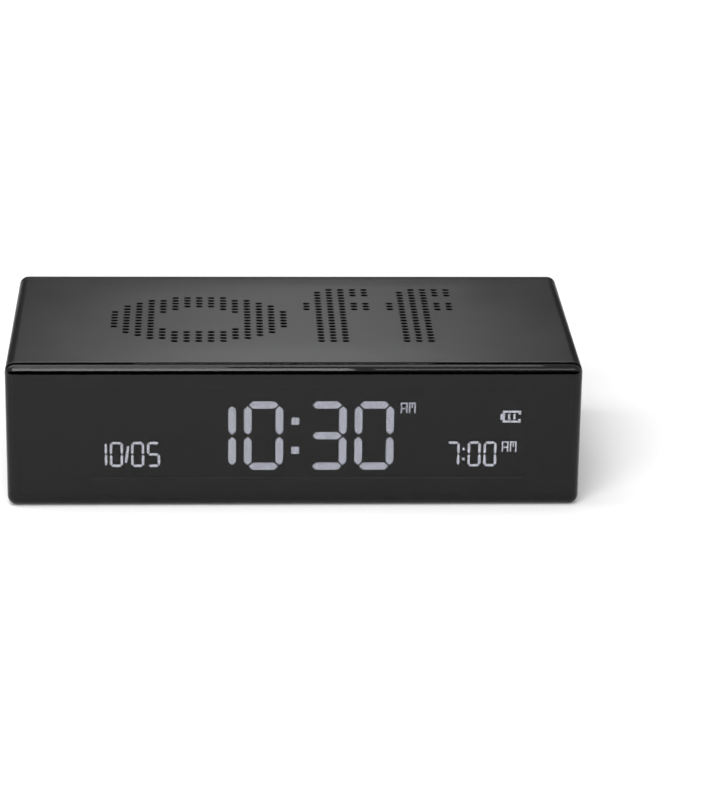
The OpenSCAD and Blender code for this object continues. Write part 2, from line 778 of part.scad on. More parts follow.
module front_panel() color("#16171a") {
    difference() {
        translate([0, skirt_y, mid_z]) rotate([90, 0, 0]) cushion_plate(panel_t + panel_skirt, panel_edge_r);
        slab(panel_back_y, skirt_y + cut) outline(rim_inset);
    }
    plug_rim(skirt_y, tape_y);
}

module front_gasket() color("#0d0d0d")
    slab(skirt_y, sleeve_front_y) band(seam_inset, plug_inset);

module panel_tape() color("#303030") plug_rim(tape_y, wall_y);

module rear_cover() color("#1c1d1f") difference() {
    union() {
        translate([0, cover_in_y, mid_z]) rotate([90, 0, 180]) cushion_plate(cover_t, cover_edge_r);
        plug_rim(cover_in_y - cover_rim_l, cover_in_y);
    }
    slab(bay_y, back_y + cut) translate([0, mid_z]) round_rect(bay_w, bay_h, key_d / 2);
    for (i = [0:key_count - 1]) rod(key_x(i), mid_z, key_d / 2 + key_gap, cover_in_y - cut, back_y);
    slab(cover_in_y - cut, back_y + cut)
        translate([usb_x, mid_z]) race_track(usb_w + 2 * usb_gap, usb_h + 2 * usb_gap);
    at_posts() {
        rod(0, 0, rear_screw_d / 2 + screw_gap, cover_in_y - cut, back_y + cut);
        taper(0, 0, rear_screw_d / 2 + screw_gap, rear_head_d / 2 + screw_gap, rear_head_y, back_y);
    }
}

module rear_gasket() color("#0d0d0d")
    slab(sleeve_back_y, cover_in_y) band(seam_inset, plug_inset);

// Puts what follows at each of the four posts
module at_posts()
    for (x = [-1, 1], z = [-1, 1])
        translate([x * post_x, 0, mid_z + z * post_rise]) children();

module rear_screws() color("#3a3b3d") at_posts() difference() {
    union() {
        taper(0, 0, rear_screw_d / 2, rear_head_d / 2, rear_head_y, back_y);
        rod(0, 0, rear_screw_d / 2, back_y - rear_screw_l, back_y);
    }
    cross_recess(rear_head_d, back_y);
}

// A cross for the screwdriver, sunk into a head whose top is at a depth
module cross_recess(head_d, top_y) {
    arm = head_d / 4;
    blade = head_d / 16;
    sink = head_d / 6;
    for (turn = [0, 90]) rotate([0, turn, 0])
        block([-arm, top_y - sink, -blade], [arm, top_y + cut, blade]);
}

module chassis() color("#2a2c2f") difference() {
    union() {
        slab(wall_y, wall_back_y) outline(plug_inset);
        block([-post_x, wall_back_y, deck_low_z], [post_x, deck_back_y, deck_top_z]);
        for (x = [-1, 1])
            translate([x * post_x, 0, mid_z])
                block([-side_t / 2, wall_back_y, -post_rise], [side_t / 2, deck_back_y, post_rise]);
        at_posts() rod(0, 0, post_d / 2, wall_back_y, cover_in_y);
        for (x = [-1, 1])
            translate([x * boss_x, 0, mid_z])
                block([-boss_w / 2, board_front_y - boss_l, -boss_half_h],
                      [boss_w / 2, board_front_y, boss_half_h]);
        speaker_chamber();
    }
    circuit_slots(wall_y - cut, wall_back_y + cut);
    at_posts() rod(0, 0, rear_screw_d / 2 + screw_gap, back_y - rear_screw_l - screw_gap, cover_in_y + cut);
    at_bosses() rod(0, 0, board_screw_d / 2 + screw_gap, board_screw_end_y - screw_gap, board_front_y + cut);
}

// The round wall that closes in the back of the speaker
module speaker_chamber() {
    chamber_h = speaker_seat_z - deck_top_z;
    difference() {
        translate([speaker_x, speaker_y, deck_top_z]) cylinder(r = speaker_r, h = chamber_h);
        translate([speaker_x, speaker_y, deck_top_z])
            cylinder(r = speaker_r - chamber_wall, h = chamber_h + cut);
        lead_notch();
    }
}

// The way out of the speaker's chamber for its leads
module lead_notch() {
    half = lead_pitch / 2 + lead_d;
    block([speaker_x - half, terminal_y - cut, speaker_seat_z - terminal_h - lead_sag],
          [speaker_x + half, speaker_y + speaker_r + cut, speaker_seat_z + cut]);
}

// Puts what follows at each of the four board screws
module at_bosses()
    for (x = [-1, 1], z = [-1, 1]) translate([x * boss_x, 0, mid_z + z * boss_pitch / 2]) children();

module lcd_holder() color("#d8d8d4") {
    outer = sheet_gap + tray_wall;
    difference() {
        block([-glass_w / 2 - outer, panel_back_y, glass_low_z - outer],
              [glass_w / 2 + outer, wall_y, glass_top_z + outer]);
        block([-glass_w / 2 - sheet_gap, panel_back_y - cut, glass_low_z - sheet_gap],
              [glass_w / 2 + sheet_gap, tray_y, glass_top_z + sheet_gap]);
        circuit_slots(tray_y - cut, wall_y + cut);
    }
}

module front_polariser() color("#3c3f46")
    sheet(panel_back_y, front_glass_y, glass_low_z, glass_top_z, film_margin);

module lcd_front_glass() color("#9fb4c0") sheet(front_glass_y, crystal_y, glass_low_z, glass_top_z, 0);

module lcd_seal() color("#c8c8b8") difference() {
    sheet(crystal_y, rear_glass_y, rear_glass_low_z, glass_top_z, 0);
    sheet(crystal_y - cut, rear_glass_y + cut, rear_glass_low_z, glass_top_z, seal_w);
}

module display_segments() color("#c4c8d4") slab(crystal_y, rear_glass_y) lit_drawing();

module lcd_rear_glass() color("#9fb4c0") sheet(rear_glass_y, rear_film_y, rear_glass_low_z, glass_top_z, 0);

module rear_polariser() color("#3c3f46")
    sheet(rear_film_y, diffuser_y, rear_glass_low_z, glass_top_z, film_margin);

module diffuser_sheet() color("#f2f2f0") sheet(diffuser_y, guide_y, rear_glass_low_z, glass_top_z, 0);

module light_guide() color("#e6eef2") sheet(guide_y, reflector_y, rear_glass_low_z, guide_top_z, 0);

module reflector_sheet() color("#fafafa") sheet(reflector_y, tray_y, rear_glass_low_z, guide_top_z, 0);

module led_strip() color("#c98a2b") {
    block([-glass_w / 2, guide_y, glass_top_z - flex_t], [glass_w / 2, reflector_y, glass_top_z]);
    translate([tail_x, 0, glass_top_z])
        block([-tail_w / 2, guide_y, -flex_t], [tail_w / 2, board_front_y, 0]);
}

module backlight_leds() color("#f4f0d8") {
    pitch = glass_w / led_count;
    for (i = [0:led_count - 1])
        translate([-glass_w / 2 + (i + 0.5) * pitch, 0, 0])
            block([-led_l / 2, guide_y, guide_top_z], [led_l / 2, reflector_y, glass_top_z - flex_t]);
}

module display_flex() color("#b8741f") profile(flex_x - flex_w / 2, flex_x + flex_w / 2) {
    bend = flex_bend + flex_t;
    rise = rear_glass_low_z - slot_gap - flex_run_z;
    translate([crystal_y, flex_run_z + bend]) square([flex_t, rise - bend]);
    translate([crystal_y + bend, flex_run_z]) square([flex_socket_y - crystal_y - bend, flex_t]);
    translate([crystal_y + bend, flex_run_z + bend]) intersection() {
        difference() {
            circle(r = bend);
            circle(r = flex_bend);
        }
        translate([-bend, -bend]) square(bend);
    }
}

module flex_connector() color("#e8e4d8") difference() {
    half = flex_w / 2 + connector_margin;
    block([flex_x - half, board_front_y - connector_l, flex_run_z + flex_t / 2 - connector_h / 2],
          [flex_x + half, board_front_y, flex_run_z + flex_t / 2 + connector_h / 2]);
    block([flex_x - flex_w / 2 - plug_gap, board_front_y - connector_l - cut, flex_run_z - plug_gap],
          [flex_x + flex_w / 2 + plug_gap, flex_socket_y, flex_run_z + flex_t + plug_gap]);
}

module main_board() color("#1f5a3a") difference() {
    translate([0, 0, mid_z])
        block([-board_w / 2, board_front_y, -board_h / 2], [board_w / 2, board_back_y, board_h / 2]);
    at_bosses() rod(0, 0, board_screw_d / 2 + screw_gap, board_front_y - cut, board_back_y + cut);
}

module board_screws() color("#b8bcc0") at_bosses() difference() {
    union() {
        rod(0, 0, board_head_d / 2, board_back_y, board_back_y + board_head_h);
        rod(0, 0, board_screw_d / 2, board_screw_end_y, board_back_y);
    }
    cross_recess(board_head_d, board_back_y + board_head_h);
}

// A part soldered to the front of the circuit board, about its middle in width and height
module on_board(x, rise, w, t, h)
    translate([x, board_front_y, mid_z + rise]) block([-w / 2, -t, -h / 2], [w / 2, 0, h / 2]);

module controller_chip() color("#141414") on_board(chip_x, chip_rise, chip_side, chip_t, chip_side);

module charger_chip() color("#141414") on_board(usb_x, charger_rise, charger_side, charger_t, charger_side);

module crystal() color("#c8ccd0") on_board(crystal_x, chip_rise, crystal_l, crystal_t, crystal_l / 2);

module board_parts() color("#b9a27a")
    for (i = [0:small_part_count - 1])
        on_board(small_part_x + i * small_part_pitch, small_part_rise,
                 small_part_l, small_part_l / 2, small_part_l / 2);

function key_x(i) = (i - (key_count - 1) / 2) * key_pitch;

module switch_cans() color("#8f9397") for (i = [0:key_count - 1])
    translate([key_x(i), 0, mid_z]) difference() {
        block([-switch_side / 2, board_back_y, -switch_side / 2],
              [switch_side / 2, switch_top_y, switch_side / 2]);
        rod(0, 0, plunger_d / 2 + plunger_gap, dome_seat_y, switch_top_y + cut);
    }

module switch_domes() color("#d0d4d8") for (i = [0:key_count - 1])
    translate([key_x(i), dome_seat_y, mid_z]) rotate([-90, 0, 0]) difference() {
        cylinder(r1 = plunger_d / 2, r2 = plunger_d / 4, h = dome_h);
        translate([0, 0, -dome_t]) cylinder(r1 = plunger_d / 2, r2 = plunger_d / 4, h = dome_h);
    }

module key(i) color("#2b2c2e") {
    rod(key_x(i), mid_z, key_d / 2, flange_back_y, key_top_y - key_chamfer);
    taper(key_x(i), mid_z, key_d / 2, key_d / 2 - key_chamfer, key_top_y - key_chamfer, key_top_y);
    rod(key_x(i), mid_z, key_d / 2 + flange_w, flange_front_y, flange_back_y);
}

module plunger(i) color("#3f4245") rod(key_x(i), mid_z, plunger_d / 2, plunger_end_y, flange_front_y);

module tilt_switch_body() color("#17191b") translate([tilt_x, tilt_y, tilt_low_z]) difference() {
    block([-tilt_side / 2, -tilt_side / 2, 0], [tilt_side / 2, tilt_side / 2, tilt_h]);
    translate([0, 0, tilt_floor]) cylinder(r = ball_d / 2 + ball_gap, h = tilt_h);
}

module tilt_switch_lid() color("#c0a050") translate([tilt_x, tilt_y, tilt_low_z + tilt_h])
    block([-tilt_side / 2, -tilt_side / 2, 0], [tilt_side / 2, tilt_side / 2, tilt_floor]);

module tilt_ball() color("#d8c070")
    translate([tilt_x, tilt_y, tilt_low_z + tilt_floor + ball_gap + ball_d / 2]) sphere(d = ball_d);

module usb_shell() color("#c4c7ca") slab(board_back_y, usb_mouth_y) translate([usb_x, mid_z]) difference() {
    race_track(usb_w, usb_h);
    race_track(usb_w - 2 * usb_wall, usb_h - 2 * usb_wall);
}

module usb_tongue() color("#1a1a1a") translate([usb_x, 0, mid_z]) {
    slab(board_back_y, board_back_y + usb_base_t)
        race_track(usb_w - 2 * usb_wall - 2 * plug_gap, usb_h - 2 * usb_wall - 2 * plug_gap);
    block([-tongue_w / 2, board_back_y, -tongue_t / 2],
          [tongue_w / 2, usb_mouth_y - usb_inset, tongue_t / 2]);
}

module battery_cell() color("#b9bec4")
    translate([battery_x, battery_y, cell_top_z - cell_t])
        linear_extrude(cell_t) round_rect(cell_w, cell_d, cell_r);

module battery_tape() color("#e9e2c4")
    translate([battery_x, battery_y, cell_top_z]) linear_extrude(pad_t)
        square([cell_w - 2 * pad_margin, cell_d - 2 * pad_margin], center = true);

module battery_board() color("#1f5a3a")
    block([battery_x - guard_w / 2, cell_back_y, cell_mid_z - guard_t / 2],
          [battery_x + guard_w / 2, guard_back_y, cell_mid_z + guard_t / 2]);

module battery_leads() color("#b3262a")
    lead_pair([battery_x, guard_back_y, cell_mid_z], [battery_x, plug_front_y, cell_mid_z]);

module battery_plug() color("#efefe8") translate([battery_x, 0, cell_mid_z]) {
    block([-plug_w / 2, header_front_y, -plug_h / 2], [plug_w / 2, header_front_y + plug_l, plug_h / 2]);
    block([-plug_w / 2 - header_wall, plug_front_y, -plug_h / 2 - header_wall],
          [plug_w / 2 + header_wall, header_front_y, plug_h / 2 + header_wall]);
}

module battery_header() color("#f4f2ea") translate([battery_x, 0, cell_mid_z]) difference() {
    half_w = plug_w / 2 + plug_gap;
    half_h = plug_h / 2 + plug_gap;
    block([-half_w - header_wall, header_front_y, -half_h - header_wall],
          [half_w + header_wall, board_front_y, half_h + header_wall]);
    block([-half_w, header_front_y - cut, -half_h], [half_w, header_front_y + plug_l, half_h]);
}

module speaker_basket() color("#75797d") {
    outer = speaker_r;
    inner = speaker_r - speaker_flange_w;
    foot = magnet_d / 2;
    translate([speaker_x, speaker_y, speaker_seat_z]) rotate_extrude() polygon([
        [0, -basket_depth - basket_t], [foot, -basket_depth - basket_t], [inner, -basket_t], [inner, 0],
        [outer, 0], [outer, speaker_flange_t], [inner - basket_t, speaker_flange_t], [inner - basket_t, 0],
        [foot - basket_t, -basket_depth], [0, -basket_depth]]);
    block([speaker_x - lead_pitch, terminal_y - basket_t, speaker_seat_z - terminal_h],
          [speaker_x + lead_pitch, terminal_y, speaker_seat_z]);
}

module speaker_magnet() color("#3b3d40")
    translate([speaker_x, speaker_y, speaker_seat_z - basket_depth - basket_t - magnet_h])
        cylinder(d = magnet_d, h = magnet_h);

module speaker_cone() color("#232323") {
    rim_out = speaker_r - foam_w - cone_t;
    rim_in = speaker_r - speaker_flange_w - basket_t - cone_t;
    dome_r = cone_dome_d / 2;
    translate([speaker_x, speaker_y, flange_top_z]) rotate_extrude() polygon([
        [0, 0], [dome_r, -cone_depth], [rim_in, 0], [rim_out, 0],
        [rim_out, cone_t], [rim_in, cone_t], [dome_r, cone_t - cone_depth], [0, cone_t]]);
}

module speaker_gasket() color("#1a1a1a")
    translate([speaker_x, speaker_y, flange_top_z]) difference() {
        cylinder(r = speaker_r, h = foam_t);
        translate([0, 0, -cut]) cylinder(r = speaker_r - foam_w, h = foam_t + 2 * cut);
    }

module speaker_leads() color("#26262a")
    lead_pair([speaker_x, terminal_y, speaker_seat_z - terminal_h / 2],
              [speaker_x, board_front_y, mid_z + speaker_pad_rise]);

sleeve();
top_mesh();
bottom_mesh();
front_panel();
front_gasket();
panel_tape();
rear_cover();
rear_gasket();
rear_screws();
chassis();
lcd_holder();
front_polariser();
lcd_front_glass();
lcd_seal();
display_segments();
lcd_rear_glass();
rear_polariser();
diffuser_sheet();
light_guide();
reflector_sheet();
led_strip();
backlight_leds();
display_flex();
flex_connector();
main_board();
board_screws();
controller_chip();
charger_chip();
crystal();
board_parts();
switch_cans();
switch_domes();
key(0);  // key_clock
key(1);  // key_bell
key(2);  // key_plus
key(3);  // key_minus
key(4);  // key_light
plunger(0);  // plunger_clock
plunger(1);  // plunger_bell
plunger(2);  // plunger_plus
plunger(3);  // plunger_minus
plunger(4);  // plunger_light
tilt_switch_body();
tilt_switch_lid();
tilt_ball();
usb_shell();
usb_tongue();
battery_cell();
battery_board();
battery_tape();
battery_leads();
battery_plug();
battery_header();
speaker_basket();
speaker_magnet();
speaker_cone();
speaker_gasket();
speaker_leads();
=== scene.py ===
# A reversible digital alarm clock, dressed piece by piece in the order in which it is put together.
# Metres. The origin is the middle of the underside, +X to the right, +Y to the back, +Z up.
import math

import bmesh
import bpy
from mathutils import Matrix, Vector


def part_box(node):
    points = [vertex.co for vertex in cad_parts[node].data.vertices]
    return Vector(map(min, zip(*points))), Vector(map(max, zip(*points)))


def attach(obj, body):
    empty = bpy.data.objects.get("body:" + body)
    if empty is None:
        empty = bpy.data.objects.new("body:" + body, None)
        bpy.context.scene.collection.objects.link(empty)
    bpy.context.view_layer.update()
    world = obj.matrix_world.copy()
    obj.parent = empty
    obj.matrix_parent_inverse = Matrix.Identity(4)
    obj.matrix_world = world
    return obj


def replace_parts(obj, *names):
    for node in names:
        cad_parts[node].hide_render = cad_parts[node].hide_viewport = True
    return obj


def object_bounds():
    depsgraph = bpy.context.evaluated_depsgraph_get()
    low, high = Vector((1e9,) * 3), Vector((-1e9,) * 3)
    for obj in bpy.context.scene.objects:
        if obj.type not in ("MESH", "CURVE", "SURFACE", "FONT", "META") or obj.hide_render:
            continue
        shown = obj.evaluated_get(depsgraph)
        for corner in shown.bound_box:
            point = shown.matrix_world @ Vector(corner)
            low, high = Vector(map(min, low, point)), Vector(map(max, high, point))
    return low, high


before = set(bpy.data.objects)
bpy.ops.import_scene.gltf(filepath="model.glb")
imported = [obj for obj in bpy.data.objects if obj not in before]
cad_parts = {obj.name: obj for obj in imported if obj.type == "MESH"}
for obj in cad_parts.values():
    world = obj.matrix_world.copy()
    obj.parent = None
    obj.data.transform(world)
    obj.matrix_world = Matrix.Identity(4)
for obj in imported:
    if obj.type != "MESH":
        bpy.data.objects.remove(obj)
cad_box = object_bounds()

# The studio
# A white table top under soft lamps, seen through a long lens from a little above the front, with the
# main lamp at the left, so that the shadow falls to the right.
photo_long_side = 804
focal_length_pixels = 3261
eye = Vector((-0.0252, -0.9985, 0.3857))
eye_turn = math.radians(2.69)
eye_dip = math.radians(20.17)
eye_lean = math.radians(0.87)

level = Vector((math.cos(eye_turn), -math.sin(eye_turn), 0))
ahead = Vector((math.sin(eye_turn), math.cos(eye_turn), 0))
forward = math.cos(eye_dip) * ahead - Vector((0, 0, math.sin(eye_dip)))
upright = level.cross(forward)
image_right = math.cos(eye_lean) * level + math.sin(eye_lean) * upright
image_up = math.cos(eye_lean) * upright - math.sin(eye_lean) * level
lens = bpy.data.cameras.new("long_lens")
lens.lens = focal_length_pixels / photo_long_side * lens.sensor_width
camera = bpy.data.objects.new("camera", lens)
facing = Matrix((image_right, image_up, -forward)).transposed()
camera.matrix_world = Matrix.Translation(eye) @ facing.to_4x4()
bpy.context.scene.collection.objects.link(camera)
bpy.context.scene.camera = camera
bpy.context.scene.view_settings.view_transform = "Standard"


def feed(tree, socket, value):
    """Links a socket to another one, or sets it to a plain value."""
    if isinstance(value, bpy.types.NodeSocket):
        tree.links.new(value, socket)
    else:
        socket.default_value = value


def feed_node(tree, node, **inputs):
    """Links or sets the inputs of a node by name."""
    for name, value in inputs.items():
        feed(tree, node.inputs[name.replace("_", " ")], value)


def add_node(tree, kind, settings=(), **inputs):
    """A new node with its settings, and its inputs linked or set by name."""
    made = tree.nodes.new(kind)
    for name, value in dict(settings).items():
        setattr(made, name, value)
    feed_node(tree, made, **inputs)
    return made


def arithmetic(tree, operation, first, second, clamp=False):
    """The result of a sum on two sockets or numbers."""
    made = add_node(tree, "ShaderNodeMath", {"operation": operation, "use_clamp": clamp})
    feed(tree, made.inputs[0], first)
    feed(tree, made.inputs[1], second)
    return made.outputs[0]


def object_place(tree):
    """Where a point lies on its object."""
    return add_node(tree, "ShaderNodeTexCoord").outputs["Object"]


def seen_directly(tree):
    """1 on rays from the camera, in mirrors and through glass, and 0 on rays that light a surface."""
    path = add_node(tree, "ShaderNodeLightPath").outputs
    mirrored = arithmetic(tree, "MAXIMUM", path["Is Camera Ray"], path["Is Glossy Ray"])
    return arithmetic(tree, "MAXIMUM", mirrored, path["Is Transmission Ray"])


room_light = 0.25
world = bpy.data.worlds.new("white_room")
bpy.context.scene.world = world
world.use_nodes = True
room = world.node_tree
room_shader = room.nodes["Background"]
room_shader.inputs["Color"].default_value = (1, 1, 1, 1)
feed(room, room_shader.inputs["Strength"], arithmetic(room, "MAXIMUM", seen_directly(room), room_light))


def shader_of(material):
    """The tree of a material, and its shader."""
    return material.node_tree, material.node_tree.nodes["Principled BSDF"]


def new_material(name):
    """An empty material with its tree and its shader."""
    material = bpy.data.materials.new(name)
    material.use_nodes = True
    return material, *shader_of(material)


def stage_sheet(name, corners, material):
    """A sheet of one face that belongs to the studio."""
    mesh = bpy.data.meshes.new(name)
    mesh.from_pydata(corners, [], [(0, 1, 2, 3)])
    mesh.materials.append(material)
    sheet = bpy.data.objects.new(name, mesh)
    bpy.context.scene.collection.objects.link(sheet)
    return sheet


table_half = 3.0
table_drop = 0.0001
table_colour = (0.9, 0.9, 0.9, 1)
near_lift = 0.15
far_lift = 0.6
near_distance = 0.2
far_distance = 0.6
horizon_lift = 0.2
horizon_distance = 1.4
white_paper, paper, paper_shader = new_material("white_paper")
from_middle = add_node(paper, "ShaderNodeVectorMath", {"operation": "LENGTH"}, Vector=object_place(paper))
paper_lift = add_node(paper, "ShaderNodeMapRange", Value=from_middle.outputs["Value"], From_Min=near_distance,
                      From_Max=far_distance, To_Min=near_lift, To_Max=far_lift)
horizon = add_node(paper, "ShaderNodeMapRange", Value=from_middle.outputs["Value"], From_Min=far_distance,
                   From_Max=horizon_distance, To_Min=0.0, To_Max=horizon_lift)
whole_lift = arithmetic(paper, "ADD", paper_lift.outputs["Result"], horizon.outputs["Result"])
feed_node(paper, paper_shader, Base_Color=table_colour, Roughness=1.0, Specular_IOR_Level=0.0,
          Emission_Color=(1, 1, 1, 1),
          Emission_Strength=arithmetic(paper, "MULTIPLY", seen_directly(paper), whole_lift))
table_corners = [(x * table_half, y * table_half, -table_drop)
                 for x, y in ((-1, -1), (1, -1), (1, 1), (-1, 1))]
stage_sheet("table_top", table_corners, white_paper)

black_paper, black_tree, black_shader = new_material("black_paper")
feed_node(black_tree, black_shader, Base_Color=(0.02, 0.02, 0.02, 1), Roughness=1.0, Specular_IOR_Level=0.0)


def black_card(name, y, high_z, half_width):
    """An upright card out of the picture that keeps the white room out of the polished edges."""
    corners = [(x * half_width, y, z) for x, z in ((-1, 0), (1, 0), (1, high_z), (-1, high_z))]
    card = stage_sheet(name, corners, black_paper)
    card.visible_camera = False
    card.visible_diffuse = False
    card.visible_transmission = False
    card.visible_shadow = False


black_card("front_card", y=-0.205, high_z=0.115, half_width=1.0)
black_card("back_card", y=0.6, high_z=1.1, half_width=0.95)


def soft_lamp(name, place, target, width, height, watts):
    """A lamp behind a diffuser that faces a point, with its width level."""
    away = (Vector(place) - Vector(target)).normalized()
    across = (Vector((1, 0, 0)) - away.x * away).normalized()
    lamp = bpy.data.lights.new(name, "AREA")
    lamp.shape = "RECTANGLE"
    lamp.size = width
    lamp.size_y = height
    lamp.energy = watts
    stand = bpy.data.objects.new(name, lamp)
    facing = Matrix((across, away.cross(across), away)).transposed()
    stand.matrix_world = Matrix.Translation(place) @ facing.to_4x4()
    stand.visible_camera = False
    bpy.context.scene.collection.objects.link(stand)


clock_middle = (0, 0, 0.03)
clock_top = (0, 0, 0.05)
soft_lamp("top_bank", (-0.25, 0.04, 0.75), clock_middle, width=0.95, height=0.36, watts=3.3)
soft_lamp("front_bank", (-0.16, -0.55, 0.55), clock_middle, width=0.44, height=0.37, watts=3.7)
soft_lamp("gap_bank", (-0.1, -0.27, 0.71), clock_middle, width=0.15, height=0.2, watts=0.3)
soft_lamp("right_bank", (0.21, -0.55, 0.58), clock_middle, width=0.29, height=0.19, watts=0.6)
soft_lamp("back_lamp", (0.01, 0.57, 0.36), clock_top, width=0.18, height=0.3, watts=0.6)

# The chassis
# The frame that everything inside is fixed to: one moulding in dark grey plastic, with the deck, the
# speaker's chamber and the posts for the rear screws. It slides into the sleeve with the front panel.
COLOUR = "NodeSocketColor"
VALUE = "NodeSocketFloat"


def new_group(name, inputs, outputs):
    """An empty shader group with named sockets, with the sockets of its two ends."""
    tree = bpy.data.node_groups.new(name, "ShaderNodeTree")
    for socket_name, kind in inputs:
        tree.interface.new_socket(socket_name, in_out="INPUT", socket_type=kind)
    for socket_name, kind in outputs:
        tree.interface.new_socket(socket_name, in_out="OUTPUT", socket_type=kind)
    return tree, tree.nodes.new("NodeGroupInput").outputs, tree.nodes.new("NodeGroupOutput").inputs


def fine_grain_group():
    """Grain of a moulded or blasted surface: colour in soft clouds, gloss and relief in fine grains."""
    tree, given, result = new_group(
        "fine_grain",
        [("Colour", COLOUR), ("Mottle", VALUE), ("Scale", VALUE), ("Roughness", VALUE), ("Spread", VALUE)],
        [("Colour", COLOUR), ("Roughness", VALUE), ("Height", VALUE)])
    clouds_to_grains = 0.03
    place = object_place(tree)
    cloud_scale = arithmetic(tree, "MULTIPLY", given["Scale"], clouds_to_grains)
    grains, clouds = [
        add_node(tree, "ShaderNodeTexNoise", Vector=place, Scale=scale, Detail=detail).outputs["Fac"]
        for scale, detail in ((given["Scale"], 2.0), (cloud_scale, 3.0))]
    both = arithmetic(tree, "SUBTRACT", arithmetic(tree, "ADD", grains, clouds), 1.0)
    shade = arithmetic(tree, "ADD", arithmetic(tree, "MULTIPLY", both, given["Mottle"]), 1.0)
    tinted = add_node(tree, "ShaderNodeHueSaturation", Value=shade, Color=given["Colour"])
    uneven = arithmetic(tree, "MULTIPLY", both, given["Spread"])
    feed(tree, result["Colour"], tinted.outputs["Color"])
    feed(tree, result["Roughness"], arithmetic(tree, "ADD", given["Roughness"], uneven, clamp=True))
    feed(tree, result["Height"], grains)
    return tree


fine_grain = fine_grain_group()


def place_group(tree, group, **inputs):
    """The outputs of a shader group placed in a material with its own values."""
    return add_node(tree, "ShaderNodeGroup", {"node_tree": group}, **inputs).outputs


def grained(name, colour, roughness, scale, mottle=0.3, spread=0.1, relief=0.00001, **plain):
    """A material whose colour, gloss and relief follow the fine grain, with its shader's other values."""
    material, tree, shader = new_material(name)
    grain = place_group(tree, fine_grain, Colour=(*colour, 1), Mottle=mottle, Scale=scale,
                        Roughness=roughness, Spread=spread)
    bump = add_node(tree, "ShaderNodeBump", Strength=1.0, Distance=relief, Height=grain["Height"])
    feed_node(tree, shader, Base_Color=grain["Colour"], Roughness=grain["Roughness"],
              Normal=bump.outputs["Normal"], **plain)
    return material


def dress(material, *node_names):
    """Gives CAD nodes a material in every slot that they have."""
    for node_name in node_names:
        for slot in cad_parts[node_name].material_slots:
            slot.material = material


dress(grained("chassis_plastic", (0.045, 0.046, 0.049), 0.5, 2500), "chassis")

# The speaker
# A small round speaker on the rim of its chamber: a drawn steel basket, a disc magnet, a pressed paper
# cone, a rubber ring that seals it under the sleeve, and two black leads to the circuit board.
plain_steel = grained("plain_steel", (0.56, 0.57, 0.58), 0.28, 4000, mottle=0.2, Metallic=1.0)
black_rubber = grained("black_rubber", (0.012, 0.012, 0.012), 0.75, 5000, relief=0.00002)
dress(plain_steel, "speaker_basket")
dress(grained("dark_ferrite", (0.06, 0.06, 0.065), 0.4, 3000, Metallic=0.6), "speaker_magnet")
dress(grained("pressed_paper", (0.022, 0.021, 0.02), 0.85, 1800, mottle=0.8, relief=0.00005), "speaker_cone")
dress(black_rubber, "speaker_gasket", "rear_gasket")
dress(grained("black_lead", (0.02, 0.02, 0.021), 0.5, 3000), "speaker_leads")

# The battery
# A flat pouch cell in aluminium laminate, held under the deck by a pad of adhesive foam, with a small
# protection board at its end and two red leads to a plug.
adhesive_foam = grained("adhesive_foam", (0.06, 0.06, 0.06), 0.9, 3500, mottle=0.6, relief=0.00004)
white_moulding = grained("white_moulding", (0.72, 0.72, 0.68), 0.45, 2500, mottle=0.1)
dress(grained("pouch_laminate", (0.62, 0.63, 0.65), 0.3, 600, mottle=0.15, relief=0.00006, Metallic=1.0),
      "battery_cell")
dress(adhesive_foam, "battery_tape", "panel_tape")
dress(grained("red_lead", (0.45, 0.03, 0.03), 0.45, 3000), "battery_leads")
dress(white_moulding, "battery_plug", "battery_header")

# The circuit board
# Green glass-fibre board with copper tracks under the solder mask, screwed to two blocks of the chassis.
# It carries the chips, the five push switches, the tilt switch and the charging socket.


def mix_colours(tree, factor, first, second, blend="MIX"):
    """A colour between two others, or the first times the second."""
    factor_socket, first_socket, second_socket, result_socket = 0, 6, 7, 2
    mixed = add_node(tree, "ShaderNodeMix", {"data_type": "RGBA", "blend_type": blend})
    feed(tree, mixed.inputs[factor_socket], factor)
    feed(tree, mixed.inputs[first_socket], first)
    feed(tree, mixed.inputs[second_socket], second)
    return mixed.outputs[result_socket]


def tracked_board():
    """Solder mask with rows of copper tracks showing through it."""
    material = grained("solder_mask", (0.02, 0.12, 0.05), 0.35, 3000)
    tree, shader = shader_of(material)
    mask_colour = shader.inputs["Base Color"].links[0].from_socket
    across = add_node(tree, "ShaderNodeSeparateXYZ", Vector=object_place(tree)).outputs
    flat = add_node(tree, "ShaderNodeCombineXYZ", X=across["X"], Y=across["Z"])
    tracks = add_node(tree, "ShaderNodeTexBrick", Vector=flat.outputs["Vector"], Color1=(1, 1, 1, 1),
                      Color2=(0.8, 0.8, 0.8, 1), Mortar=(2.2, 2.2, 2.2, 1), Scale=400.0, Mortar_Size=0.06)
    tracked = mix_colours(tree, 1.0, mask_colour, tracks.outputs["Color"], "MULTIPLY")
    feed_node(tree, shader, Base_Color=tracked)
    return material


moulded_epoxy = grained("moulded_epoxy", (0.015, 0.015, 0.016), 0.55, 6000, relief=0.00002)
plain_brass = grained("plain_brass", (0.72, 0.53, 0.22), 0.25, 3000, mottle=0.15, Metallic=1.0)
dress(tracked_board(), "main_board", "battery_board")
dress(moulded_epoxy, "controller_chip", "charger_chip", "tilt_switch_body", "usb_tongue")
dress(grained("ceramic_body", (0.36, 0.26, 0.16), 0.4, 5000), "board_parts")
dress(plain_steel, "crystal", "board_screws", "switch_cans", "switch_domes", "usb_shell")
dress(plain_brass, "tilt_switch_lid", "tilt_ball")
key_names = ("clock", "bell", "plus", "minus", "light")
dress(grained("plunger_plastic", (0.05, 0.05, 0.055), 0.4, 3000), *["plunger_" + name for name in key_names])

